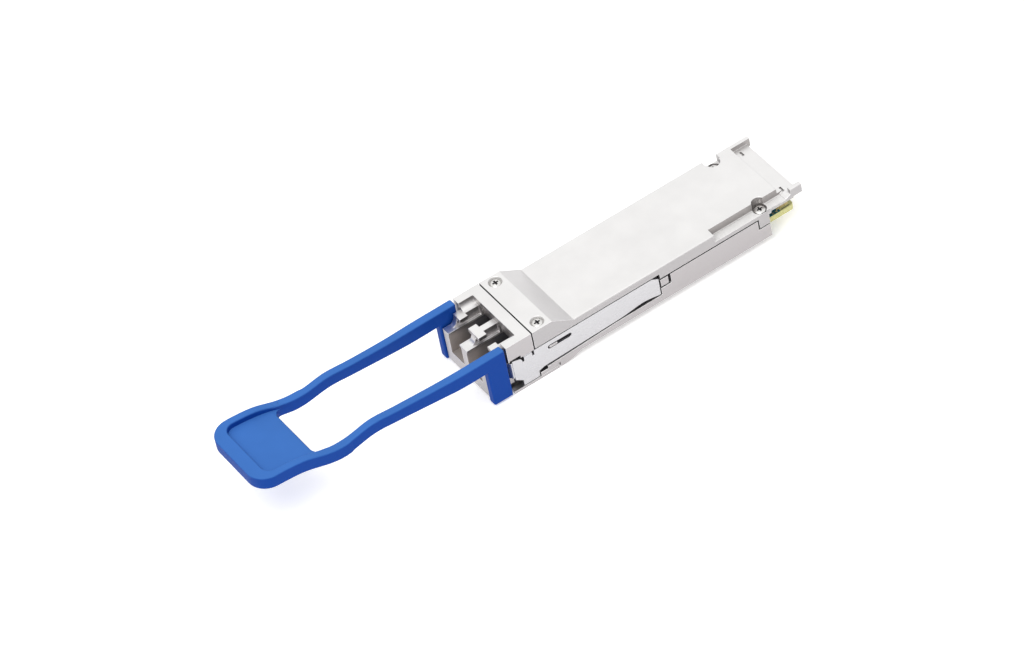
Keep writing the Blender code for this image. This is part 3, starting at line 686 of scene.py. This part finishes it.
def slider_recess(shell, side):
    """What is cut into one side for the slider's plate, and the bosses that guide and stop it."""
    outside = HALF_WIDTH + 0.4
    face = span(side, RECESS_FACE, outside)
    lower_edge = [(0.2, 0.75), (2.3, 0.8), (18.3, 1.5), (SLIDER_END, 1.55), (SLIDER_END, 8.0), (0.2, 8.0)]
    cut(shell,
        box("head_recess", face, (-6.3, 0.4), (-0.9, 6.8)),
        box("head_recess_top", span(side, 7.9, outside), (-5.6, -3.1), (6.3, 7.45)),
        box("head_recess_foot", span(side, 7.8, outside), (-5.6, -3.3), (-0.3, 1.95)),
        box("step_recess", span(side, 8.0, outside), (0.3, 2.15), (0.2, 1.1)),
        box("bow_recess", span(side, 8.0, outside), (19.6, 28.4), (1.56, 2.6)),
        prism("sheet_recess", lower_edge, "side", *face),
        box("jog_relief", span(side, 7.6, outside), (-6.3, -4.7), (-0.9, 7.2)),
        box("stop_recess", face, (SLIDER_END - 0.1, 31.8), (3.2, 6.0)),
        box("spring_pocket", span(side, 6.85, outside), (SPRING_FRONT - 0.1, 18.3), (3.4, 5.0)))
    guide_boss = [*arc((3.6, GUIDE_HEIGHT), 0.3, 90, 270, 10), *arc((4.9, GUIDE_HEIGHT), 0.3, -90, 90, 10)]
    proud = span(side, 8.3, SLIDER_OUTER)
    join(shell,
         box("stop_block", proud, (29.45, 31.25), (3.5, 5.3)),
         prism("guide_boss", guide_boss, "side", *proud))


def receptacle(shell):
    """The two ports with their open slots, the opening for the plugs' latches, and two small marks."""
    cut(shell, box("latch_opening", (-OPENING_HALF, OPENING_HALF), (WALL_FRONT - 0.5, OPENING_REAR),
                   (DECK, HEAD_TOP + 0.5)))
    before_nose = NOSE_FRONT - 0.5
    low = PORT_CEILING - 0.2
    high = HEAD_TOP - 0.4
    lead_in = [(before_nose, low), (-1.75, low), (OPENING_REAR - 0.05, high),
               (OPENING_REAR - 0.3, high), (OPENING_REAR - 0.3, DECK + 0.3), (before_nose, DECK + 0.3)]
    for side in (1, -1):
        cut(shell,
            box("port", span(side, PORT_INNER, PORT_OUTER), (before_nose, 0), (PORT_FLOOR, PORT_CEILING)),
            prism("port_slot", lead_in, "side", *span(side, SLOT_INNER, SLOT_OUTER)))
    skin_deep = (NOSE_FRONT - 1, NOSE_FRONT + 0.2)
    cut(shell,
        box("nose_mark", (3.58, 3.8), skin_deep, (-0.42, 0.4)),
        box("nose_dimple", (2.5, 2.75), skin_deep, (-0.1, 0.15)))


def keeper_sweep(name, x_range, head_front):
    """The concave ramp that lifts a fibre plug's latch onto a keeper."""
    foot = SWEEP_FOOT
    reach = head_front - foot
    rise = POST_TOP - DECK
    steps = 16
    ramp = []
    for index in range(steps + 1):
        angle = math.radians(90 * index / steps)
        ramp.append((foot + reach * math.sin(angle), POST_TOP - rise * math.cos(angle)))
    outline = [*ramp, (-6.4, POST_TOP), (-6.4, DECK - 0.3), (foot, DECK - 0.3)]
    return prism(name, outline, "side", *x_range)


def latch_keepers(shell):
    """The posts on the deck that hold two plugs' latches: one in the middle and one at each side."""
    rib_front = -6.9
    foot = DECK - 0.3
    centre_half = 0.75
    outer_inner = 5.67
    outer_face = NOSE_HALF - 0.15
    join(shell,
         keeper_sweep("centre_sweep", (-centre_half, centre_half), -7.55),
         box("centre_keeper", (-1.84, 1.84), (-7.55, -5.65), (KEEPER_BOTTOM, POST_TOP)),
         box("centre_bar", (-centre_half, centre_half), (rib_front, -1.5), (foot, POST_TOP)))
    for side in (1, -1):
        fillet = sided(side, [(outer_inner, POST_TOP), *arc((5.86, 11.0), 1.4, -90, 0, 12),
                              (7.6, HEAD_TOP), (7.6, foot), (outer_inner, foot)])
        join(shell,
             keeper_sweep("outer_sweep", span(side, 5.8, outer_face), -7.5),
             box("outer_rib", span(side, outer_inner, outer_face), (rib_front, -5.5), (foot, POST_TOP - 0.2)),
             box("outer_keeper", span(side, 4.8, NOSE_HALF), (-7.5, -5.6), (KEEPER_BOTTOM, POST_TOP)),
             prism("outer_bar", fillet, "front", -5.7, -1.5))


def barrel_bore(name, side, radius, stations):
    """A round hole along the module, on one fibre axis."""
    outline = arc((side * FIBRE_X, FIBRE_Z), radius, 0, 360, ROUND)[:-1]
    return prism(name, outline, "front", *stations)


def shell_casting():
    """The lower shell with the nose, as one casting."""
    shell = shell_blank()
    shell_cavity(shell)
    receptacle(shell)
    latch_keepers(shell)
    cut(shell, box("bridge_slot", (-HALF_WIDTH - 1, HALF_WIDTH + 1), BRIDGE_SLOT, (-1.0, 0.05)))
    ledge_heights = (0.5, BOARD_BOTTOM - 0.1)
    for side in (1, -1):
        slider_recess(shell, side)
        cut(shell, barrel_bore("barrel_bore", side, 1.75, (-0.4, 1.2)))
        join(shell,
             box("board_ledge_rear", span(side, 7.5, 8.7), (34.0, 53.5), ledge_heights),
             box("board_ledge_front", span(side, 6.5, 7.6), (20.0, 32.0), ledge_heights),
             box("rear_boss", span(side, 6.8, 8.7), (LEG_FRONT, SHELL_REAR), (0.5, 3.1)))
        cut(shell,
            box("leg_notch", span(side, 6.0, 10), (LEG_FRONT - SEAM_GAP, SHELL_REAR + 1),
                (LEG_BOTTOM - SEAM_GAP, 9)),
            cylinder("front_screw_hole", (side * FRONT_SCREW[0], FRONT_SCREW[1]), 0.65, (-2, 9)),
            cylinder("rear_screw_hole", (side * REAR_SCREW[0], REAR_SCREW[1]), 0.6, (0.9, 9)))
    soften(shell, EDGE_ROUNDING)
    dress(shell, SHELL_METAL, "module", "shell_metal", "bottom_shell")
    # Painted shade on the walls, floors and ceilings of the ports.
    recolour(shell, PORT_SHADED_METAL, in_port)
    # Painted shade on the walls of the latch opening.
    recolour(shell, RECESS_SHADE_METAL, in_latch_opening)
    # Near-black painted shadow behind the slider and on the faces that meet the cover.
    recolour(shell, GAP_SHADOW_PAINT, in_shell_gap)
    return shell


def in_port(across, station, z, normal):
    """The walls, floors and ceilings of the ports and their slots."""
    inside = PORT_INNER - 0.05 < across < PORT_OUTER + 0.05 and PORT_FLOOR - 0.05 < z < DECK - 0.12
    return inside and NOSE_FRONT + 0.12 < station < 1.3 and abs(normal.y) < 0.5


def in_latch_opening(across, station, z, normal):
    """Where the painted recess shade goes: the walls of the opening above the deck, but not what looks
    straight up in it.
    """
    beside = across < OPENING_HALF + 0.1 and WALL_FRONT - 0.3 < station < -1.4
    return beside and DECK + 0.05 < z < HEAD_TOP - 0.1 and normal.z < 0.9


def in_shell_gap(across, station, z, normal):
    """Where the painted gap shadow goes: behind the slider sheet, and the faces that meet the cover."""
    behind_slider = 7.5 < across < 8.62 and -5.2 < station < 31.9 and -1.0 < z < 7.5
    on_seam = min(abs(z - SEAM_FRONT + SEAM_GAP), abs(z - SEAM_REAR + SEAM_GAP)) < 0.1
    under_cover = normal.z > 0.9 and station > 0 and on_seam
    facing_cover = normal.y > 0.9 and abs(station) < 0.1 and z > SEAM_FRONT - SEAM_GAP
    beside_leg = abs(normal.y) > 0.9 and abs(station - LEG_FRONT + SEAM_GAP) < 0.1 and across > 6.5
    return behind_slider or under_cover or facing_cover or beside_leg


# ---- Top cover ----

def cover_blank():
    """The solid outside of the cover: head, slope, roof, ears, skirts and legs."""
    ear_bottom = 6.44
    profile = [(SEAM_GAP, SEAM_FRONT), (SEAM_GAP, HEAD_TOP), (4.9, HEAD_TOP), (9.5, ROOF),
               (ROOF_REAR, ROOF), (ROOF_REAR, ear_bottom), (56.5, ear_bottom), (56.5, SEAM_FRONT)]
    cover = prism("cover_casting", profile, "side", -HALF_WIDTH - 0.3, HALF_WIDTH + 0.3)
    join(cover,
         box("far_ear", (-HALF_WIDTH - 0.4, -EAR_INNER), (55.0, EAR_REAR), (ear_bottom, ROOF)),
         box("near_ear", (EAR_INNER, HALF_WIDTH + 0.4), (60.0, EAR_REAR), (ear_bottom, ROOF)),
         box("near_ledge_block", (6.4, HALF_WIDTH + 0.5), (42.0, 61.5), (6.1, 7.8)))
    for side in (1, -1):
        join(cover,
             box("skirt", span(side, CAVITY_HALF, HALF_WIDTH + 0.6), (SLIDER_END + 0.15, SHELL_REAR),
                 (SEAM_REAR, 7.2)),
             box("leg", span(side, 6.9, HALF_WIDTH + 0.7), (LEG_FRONT, SHELL_REAR), (LEG_BOTTOM, 7.25)),
             box("screw_seat", span(side, 5.95, 8.9), (52.8, 56.2), (5.3, 7.3)))
    keep(cover, box("envelope", (-HALF_WIDTH, HALF_WIDTH), (-1, EAR_REAR + 1),
                    (LEG_BOTTOM - 1, HEAD_TOP + 1)))
    return cover


def roof_edge(side):
    """What the rounding of the roof's long edge takes away."""
    radius = 0.32
    slope_end = 9.7
    inner = HALF_WIDTH - radius
    beyond = HALF_WIDTH + 0.5
    outline = [*arc((inner, ROOF - radius), radius, 90, 0, 8), (beyond, ROOF - radius),
               (beyond, ROOF + 0.5), (inner, ROOF + 0.5)]
    return prism("roof_edge", sided(side, outline), "front", slope_end, EAR_REAR + 1)


def cover_hollow(cover):
    """The cover's inside, one skin under the roof, with the ledge and the screw seats left solid."""
    head_hollow = [(1.2, 6.5), (1.2, 9.9), (4.4, 9.9), (8.3, 7.6), (8.3, 6.5)]
    under_roof = (6.5, ROOF - SKIN)
    cut(cover,
        prism("head_hollow", head_hollow, "side", -5.6, 5.6),
        box("roof_hollow_front", (-CAVITY_FRONT_HALF, CAVITY_FRONT_HALF), (9.8, 30.1), under_roof),
        box("roof_hollow_rear", (-CAVITY_HALF, 6.4), (30.0, 52.0), under_roof),
        box("roof_hollow_side", (6.0, CAVITY_HALF), (30.0, 42.3), under_roof),
        box("roof_hollow_card", (-5.9, 5.9), (51.9, 59.0), (6.3, ROOF - SKIN)))


def cover_recesses(cover):
    """The near ledge, the lower roof between the ears, the screws' seats and two small slots."""
    groove = (7.3, 7.45)
    tail = [(59.3, LEDGE_HEIGHT), (60.9, 7.36), (60.9, 9), (59.3, 9)]
    chamfer = [(58.98, 8.6), (58.98, ROOF), (ROOF_STEP, 8.22), (59.3, 8.22), (59.3, 8.6)]
    pocket_radius = 1.45
    cut(cover,
        box("near_ledge", (LEDGE_INNER, 10), (42.7, 59.6), (LEDGE_HEIGHT, 9)),
        prism("near_ledge_tail", tail, "side", LEDGE_INNER, 10),
        box("ledge_groove_front", groove, (43.2, 52.6), (6.6, 7)),
        box("ledge_groove_rear", groove, (56.3, 58.9), (6.6, 7)),
        box("lower_roof", (-EAR_INNER, EAR_INNER), (ROOF_STEP, 64), (7.35, 9)),
        prism("roof_step_chamfer", chamfer, "side", -EAR_INNER, 7.3),
        cylinder("near_screw_pocket", REAR_SCREW, pocket_radius, (6.05, 9)),
        cylinder("far_screw_pocket", (-REAR_SCREW[0], REAR_SCREW[1]), pocket_radius, (6.05, 9)),
        box("far_screw_notch", (-10, -REAR_SCREW[0]), (52.7, 56.1), (LEDGE_HEIGHT, 9)))
    for side in (1, -1):
        head_place = (side * FRONT_SCREW[0], FRONT_SCREW[1])
        tail_place = (side * REAR_SCREW[0], REAR_SCREW[1])
        cut(cover,
            cylinder("front_counterbore", head_place, 1.4, (10.35, 12)),
            cylinder("front_clearance", head_place, 0.7, (5, 12)),
            cylinder("rear_clearance", tail_place, 0.65, (2, 7)),
            box("roof_slot", span(side, 6.0, 7.3), (60.25, 60.7), (6.75, 8)))


def cover_casting():
    """The cover as one casting; the roof's wide rounding comes after the fine rounding of its edges."""
    cover = cover_blank()
    cover_hollow(cover)
    cover_recesses(cover)
    soften(cover, EDGE_ROUNDING)
    cut(cover, roof_edge(1), roof_edge(-1))
    shade_clean(cover, FLAT_FACE_MM2)
    dress(cover, COVER_METAL, "module", "cover_metal", "top_cover")
    # Painted shade on the walls of the rear recesses.
    recolour(cover, RECESS_SHADE_METAL, in_rear_recess_wall)
    recolour(cover, BLASTED_METAL, on_ledge_or_seat)
    # Near-black painted shadow on the faces that meet the nose and the shell.
    recolour(cover, GAP_SHADOW_PAINT, in_cover_gap)
    return cover


def in_rear_recess_wall(across, station, z, normal):
    """Where the painted recess shade goes: upright walls of the recesses in the rear half, apart from those
    that look along the module.
    """
    upright = abs(normal.z) < 0.5 and abs(normal.y) < 0.95
    return upright and across < 8.4 and station > 42 and 6.0 < z < ROOF - 0.05


def on_ledge_or_seat(across, station, z, normal):
    """The floor of the near ledge and the insides of the two front counterbores."""
    on_ledge = normal.z > 0.9 and 6.6 < z < 7.3 and across > 7.0 and 42 < station < 61
    from_screw = math.hypot(across - FRONT_SCREW[0], station - FRONT_SCREW[1])
    return on_ledge or (from_screw < 1.5 and 10.2 < z < HEAD_TOP - 0.04)


def in_cover_gap(_across, station, z, normal):
    """Where the painted gap shadow goes: the faces that meet the nose and the shell."""
    facing_nose = normal.y < -0.9 and station < 0.35
    facing_shell = normal.z < -0.9 and z < SEAM_FRONT + 0.1 and station < LEG_FRONT
    return facing_nose or facing_shell


def base_plate():
    """The plate under the nose that keeps the slider's bridge in its slot."""
    heights = (PLATE_BOTTOM, HEAD_BOTTOM - 0.01)
    plate = box("base_plate", (-HALF_WIDTH, HALF_WIDTH), (WALL_FRONT, 4.55), heights)
    join(plate, box("base_plate_lip", (-NOSE_HALF, NOSE_HALF), (-10.0, -5.0), heights))
    for side in (1, -1):
        cut(plate, cylinder("base_thread", (side * FRONT_SCREW[0], FRONT_SCREW[1]), 0.6, (-2, 0)))
    soften(plate, 0.04)
    return dress(plate, SHELL_METAL, "module", "shell_metal", "nose_base_plate")


# ---- Latch slider and pull tab ----

def slider_plate():
    """Outline of one side plate as (station, height): bulged foot, rear end, folded edge and hook."""
    foot = smooth_path([(17.0, 1.66), (19.0, 1.72), (20.8, 1.85), (24.3, 2.3), (26.3, 2.2), (28.5, 1.8)], 5)
    hook = smooth_path([(-3.0, 6.1), (-3.4, 6.5), (-4.2, 6.75)], 4)
    return [(-5.1, 1.9), (-3.7, 0.95), (-3.5, 0.75), (-3.5, BRIDGE_BOTTOM), (0.2, BRIDGE_BOTTOM),
            (0.2, 0.8), (1.5, 1.2), *foot, (29.1, 1.75), (29.1, 5.9), (27.6, 6.7), (-0.1, 6.7),
            (-0.1, 5.6), (-0.55, 5.6), (-0.55, 6.6), (-2.45, 6.6), (-2.45, 5.45), (-2.85, 5.45),
            *hook, (-5.1, 6.95)]


def slider_sheet():
    """The slider: two side plates and a bridge under the nose, bent from one sheet."""
    inner = SLIDER_OUTER - SHEET
    slider = box("slider_sheet", (-8.8, 8.8), (-3.4, 0), (BRIDGE_BOTTOM + 0.05, BRIDGE_TOP))
    outline = slider_plate()
    slot_height = GUIDE_HEIGHT + 0.01
    guide_slot = [*arc((3.46, slot_height), 0.46, 90, 270, 12), *arc((8.04, slot_height), 0.46, -90, 90, 12)]
    # Seen from above, the tongue steps inwards from the plate into the tab's leg.
    tongue = [(8.95, -4.8), (8.95, -5.35), (8.2, -5.95), (8.2, -9.3), (7.85, -9.3), (7.85, -5.8),
              (8.7, -5.2), (8.7, -4.8)]
    bend_radius = 0.42
    bend_height = 6.18
    bend_inner = SLIDER_OUTER - bend_radius
    beyond = SLIDER_OUTER + 0.3
    bend = [*arc((bend_inner, bend_height), bend_radius, 90, 0, 8), (beyond, bend_height), (beyond, 7.2),
            (bend_inner, 7.2)]
    for side in (1, -1):
        join(slider,
             prism("side_plate", outline, "side", *span(side, inner, SLIDER_OUTER)),
             prism("tongue", sided(side, tongue), "plan", 2.4, 6.4),
             box("spring_lug", span(side, 7.0, inner + 0.1), (17.4, 17.85), (3.55, 4.85)))
        cut(slider, prism("guide_slot", guide_slot, "side", *span(side, 8.2, 9.6)),
            prism("fold", sided(side, bend), "front", -2.6, -0.5))
    soften(slider, EDGE_ROUNDING)
    return dress(slider, SLIDER_METAL, "latch", "slider_metal", "latch_slider")


def tab_side_profile():
    """Outline of the pull tab seen from the side, leg included, as (station, height)."""
    top = [(ARM_REAR, 11.25), (-20, 11.25), (-30, 11.65), (-36, 12.05), (-41.5, 11.22), (-46, 11.57),
           (-51.5, 13.4), (-56, 14.03), (-58.5, TAB_TOP)]
    bottom = [(-59, TAB_UNDERSIDE), (-57, 11.04), (-52, 10.45), (-46, 8.6), (-42, 8.24), (-36, 9.2),
              (-30, 8.8), (-18, 7.85), (LEG_FRONT_STATION, 7.85)]
    return [*smooth_path(top, 10), (TAB_FRONT, TAB_TOP), (TAB_FRONT, TAB_UNDERSIDE),
            *smooth_path(bottom, 10), (LEG_FRONT_STATION, LEG_FOOT), (ARM_REAR, LEG_FOOT)]


def tab_plan():
    """Outline of the pull tab seen from above, and its window, as lists of (x, station)."""
    corner = 4.2
    arm = smooth_path([(9.42, -14), (9.38, -17), (9.2, -22), (9.05, -30), (9.05, -40), (9.36, -43),
                       (TAB_HALF, -54)], 6)
    front_corner = arc((TAB_HALF - corner, TAB_FRONT + corner), corner, 0, -90, 16)[1:]
    outline = mirrored([(9.42, -5.0), *arm, (TAB_HALF, TAB_FRONT + corner), *front_corner])
    inner_edge = smooth_path([(7.5, -15), (7.3, -29), (7.3, -38), (7.6, -46)], 6)
    window_corner = arc((5.6, WINDOW_END + 2.0), 2.0, 0, -90, 10)
    window = mirrored([(7.5, -4.0), *inner_edge, *window_corner])
    return outline, window


def tab_tray():
    """The shallow finger tray of the grip, as the volume it takes away."""
    front = -59.1
    corner = 2.0
    half_width = 7.8
    edge = smooth_path([(7.45, TRAY_START), (7.6, -47.5), (7.75, -50.5), (half_width, -54)], 4)
    front_corner = arc((half_width - corner, front + corner), corner, 0, -90, 10)[1:]
    tray = prism("tray", mirrored([*edge, (half_width, front + corner), *front_corner]), "plan", 8, 18)
    floor_line = smooth_path([(TRAY_START, 10.2), (-48.6, 11.5), (-53, 12.4), (-57, TRAY_FLOOR),
                              (-60, TRAY_FLOOR)], 8)
    keep(tray, prism("tray_floor", [*floor_line, (-60, 16), (TRAY_START, 16)], "side", -10, 10))
    return tray


def tab_rounding(edge):
    """How far an edge is rounded: outer edges fully, thin lips a little, inside corners not at all."""
    slightly = 0.3
    middle = (edge.verts[0].co + edge.verts[1].co) / 2 / MM
    station = middle.y + ORIGIN_STATION
    if len(edge.link_faces) != 2 or not edge.is_convex or edge.calc_face_angle(0.0) < math.radians(25):
        return 0.0
    on_tray_mouth = WINDOW_END - 0.2 < station < TRAY_START and 10.2 < middle.z < 11.54
    in_tongue_rebate = abs(middle.x) < 8.5 and station > -9.9 and middle.z < 6.9
    return slightly if on_tray_mouth or in_tongue_rebate else 1.0


def tab_moulding():
    """The pull tab: its side outline kept within its plan, with the window, the tray and two rebates."""
    outline, window = tab_plan()
    rebate = ((-9.6, -5.0), (2.1, 6.7))
    tab = prism("tab_moulding", tab_side_profile(), "side", -10, 10)
    keep(tab, prism("tab_outline", outline, "plan", -2, 20))
    cut(tab, prism("tab_window", window, "plan", -2, 20), tab_tray(),
        box("tongue_rebate_left", (-8.4, -7.0), *rebate),
        box("tongue_rebate_right", (7.0, 8.4), *rebate))
    tidy_mesh(tab)
    shape = bmesh.new()
    shape.from_mesh(tab.data)
    weight = shape.edges.layers.float.new("bevel_weight_edge")
    for edge in shape.edges:
        edge[weight] = tab_rounding(edge)
    shape.to_mesh(tab.data)
    shape.free()
    bevel = tab.modifiers.new("rounded_edges", "BEVEL")
    bevel.width = 0.38 * MM
    bevel.segments = 4
    bevel.limit_method = "WEIGHT"
    bevel.use_clamp_overlap = False
    settle(tab)
    shade_clean(tab, ALL_SMOOTH_MM2)
    return dress(tab, TAB_PLASTIC, "latch", "tab_plastic", "pull_tab")


# ---- Screws ----

def turned(name, profile, place, head_top):
    """A solid of revolution about an upright axis, from (radius, height) points."""
    shape = bmesh.new()
    points = [shape.verts.new((radius * MM, 0, height * MM)) for radius, height in profile]
    edges = [shape.edges.new(pair) for pair in zip(points, points[1:])]
    bmesh.ops.spin(shape, geom=[*points, *edges], cent=(0, 0, 0), axis=(0, 0, 1), angle=math.tau,
                   steps=ROUND, use_merge=True)
    bmesh.ops.remove_doubles(shape, verts=shape.verts, dist=0.000001)
    bmesh.ops.recalc_face_normals(shape, faces=shape.faces)
    bmesh.ops.translate(shape, vec=spot(place[0], place[1], head_top), verts=shape.verts)
    return add_object(name, shape)


def pan_screw(name, place, head_top, radius, height, shaft_radius, shaft_end):
    """A small pan-head screw: domed head, chamfered rim and a deep cross recess, painted dark as shadow."""
    bottom = shaft_end - head_top
    crown = 0.12
    dome = [(radius * math.sin(math.radians(angle)), crown * math.cos(math.radians(angle)) - crown)
            for angle in (0, 12, 24, 36, 48)]
    profile = [*dome, (radius - 0.16, -0.13), (radius - 0.05, -0.2), (radius, -0.3), (radius, -height),
               (shaft_radius, -height), (shaft_radius, bottom + 0.3), (shaft_radius - 0.2, bottom),
               (0, bottom)]
    screw = turned(name, profile, place, head_top)
    x, station = place
    low = head_top - 0.75
    high = head_top + 0.2
    arm = 0.64
    half_slot = 0.19
    for wide, deep in ((arm, half_slot), (half_slot, arm)):
        cut(screw, box("cross", (x - wide, x + wide), (station - deep, station + deep), (low, high)))
    cut(screw, cylinder("cross_centre", place, 0.3, (low, high)))
    soften(screw, 0.03, angle=40, flat_mm2=50.0)
    dress(screw, SCREW_METAL, "module", "screw_metal", "cover_" + name)

    def in_cross(across, along, z, normal):
        """The walls and the floor of the recess."""
        reach = math.hypot(across - abs(x), along - station)
        on_wall = reach < 0.72 and low - 0.01 < z < head_top - 0.08 and abs(normal.z) < 0.6
        return on_wall or abs(z - low) < 0.01

    # The recess's walls and floor take the near-black painted shadow.
    recolour(screw, GAP_SHADOW_PAINT, in_cross)


def cover_screws():
    """Two screws through the head and two through the rear legs."""
    for side, label in ((1, "right"), (-1, "left")):
        front = (side * FRONT_SCREW[0], FRONT_SCREW[1])
        rear = (side * REAR_SCREW[0], REAR_SCREW[1])
        pan_screw("screw_front_" + label, front, head_top=11.05, radius=1.18, height=0.6,
                  shaft_radius=0.5, shaft_end=-1.2)
        pan_screw("screw_rear_" + label, rear, head_top=6.75, radius=1.24, height=0.65,
                  shaft_radius=0.45, shaft_end=1.1)


# ---- Circuit board ----

MASK_END = 58.65
PAD_REAR = 61.0
PAD_PITCH = 0.8
PAD_WIDTH = 0.54
PADS_PER_ROW = 19
PAD_LIFT = 0.035


def board_side(inset):
    """The right edge of the board up to behind the notch for the cover's leg, as (x, station)."""
    notch_front = LEG_FRONT - SEAM_GAP
    notch_rear = SHELL_REAR + 0.3
    return [(BOARD_FRONT_HALF - inset, BOARD_FRONT + inset), (BOARD_FRONT_HALF - inset, BOARD_STEP + inset),
            (BOARD_HALF - inset, BOARD_STEP + inset), (BOARD_HALF - inset, notch_front - inset),
            (NOTCH_INNER - inset, notch_front - inset), (NOTCH_INNER - inset, notch_rear + inset),
            (BOARD_HALF - inset, notch_rear + inset)]


def board_laminate():
    """The bare glass laminate; the solder mask and the contacts lie on it as pieces of their own."""
    chamfer = 0.5
    half = [*board_side(0), (BOARD_HALF, BOARD_REAR - chamfer), (BOARD_HALF - chamfer, BOARD_REAR)]
    board = prism("board", mirrored(half), "plan", BOARD_BOTTOM, BOARD_TOP)
    soften(board, 0.05)
    return dress(board, BOARD_LAMINATE, "module", "board_laminate", "main_board")


def board_masks():
    """Solder mask on both faces, a hair proud of the laminate, ending before the contacts."""
    inset = 0.03
    proud = 0.02
    sunk = 0.05
    outline = mirrored([*board_side(inset), (BOARD_HALF - inset, MASK_END)])
    for name, low, high in (("mask_top", BOARD_TOP - sunk, BOARD_TOP + proud),
                            ("mask_bottom", BOARD_BOTTOM - proud, BOARD_BOTTOM + sunk)):
        mask = prism(name, outline, "plan", low, high)
        dress(mask, BOARD_MASK, "module", "board_laminate")


def plates(name, boxes, finish, slot):
    """One piece made of many small separate blocks."""
    shape = bmesh.new()
    for low, high in boxes:
        add_block(shape, low, high)
    return dress(add_object(name, shape), finish, "module", slot)


def edge_contacts():
    """Two rows of gold contacts; every third one reaches further back, as a ground contact does."""
    first = -(PADS_PER_ROW - 1) / 2 * PAD_PITCH
    front = MASK_END - 0.4
    faces = ((BOARD_TOP - 0.02, BOARD_TOP + PAD_LIFT), (BOARD_BOTTOM - PAD_LIFT, BOARD_BOTTOM + 0.02))
    boxes = []
    for index in range(PADS_PER_ROW):
        x = first + index * PAD_PITCH
        rear = PAD_REAR if index % 3 == 0 else PAD_REAR - 0.45
        for low, high in faces:
            boxes.append((spot(x - PAD_WIDTH / 2, front, low), spot(x + PAD_WIDTH / 2, rear, high)))
    plates("edge_contacts", boxes, GOLD, "gold_plate")


def test_pads():
    """Small square lands where the board leaves the cover: (width, station, half size) on each side."""
    lands = ((7.73, 57.08, 0.2), (7.7, 57.95, 0.22), (6.9, 57.2, 0.16), (6.3, 57.6, 0.16),
             (5.2, 57.1, 0.16), (3.9, 57.5, 0.16), (2.2, 57.2, 0.16), (0.9, 57.6, 0.16))
    top = BOARD_TOP + PAD_LIFT
    boxes = []
    for side in (1, -1):
        for x, y, half in lands:
            boxes.append((spot(side * x - half, y - half, BOARD_TOP), spot(side * x + half, y + half, top)))
    plates("test_pads", boxes, GOLD, "gold_plate")


def edge_marks():
    """A dark line on each side, beside the outermost contact."""
    place = 7.9
    half = 0.08
    bottom = BOARD_TOP - 0.02
    top = BOARD_TOP + 0.03
    lines = [(spot(side * place - half, 58.9, bottom), spot(side * place + half, 60.95, top))
             for side in (1, -1)]
    plates("etched_lines", lines, CHIP_EPOXY, "chip_plastic")


# ---- CAD nodes that keep their own mesh ----

FINISH_OF_SLOT = {
    "screw_metal": SCREW_METAL,
    "spring_steel": SPRING_STEEL,
    "barrel_metal": BARREL_STEEL,
    "board_laminate": BOARD_MASK,
    "chip_plastic": CHIP_EPOXY,
    "ceramic": CERAMIC,
    "gold_plate": GOLD,
    "flex_film": FLEX_FILM,
    "gasket_foam": FOAM,
    "thermal_gap_filler": GAP_FILLER,
    "shell_metal": SHELL_METAL,
    "cover_metal": COVER_METAL,
    "slider_metal": SLIDER_METAL,
    "tab_plastic": TAB_PLASTIC,
}


def finish_cad_nodes():
    """Every node gets the material of its slot, for those that no finer piece stands for."""
    for entry in frame["record"]["subparts"]:
        item = frame["nodes"][entry["node"]]
        item.data.materials.clear()
        item.data.materials.append(FINISH_OF_SLOT[entry["material_slot"]])


place_camera()
studio()
floor()
finish_cad_nodes()
shell_casting()
cover_casting()
base_plate()
slider_sheet()
tab_moulding()
cover_screws()
board_laminate()
board_masks()
edge_contacts()
test_pads()
edge_marks()
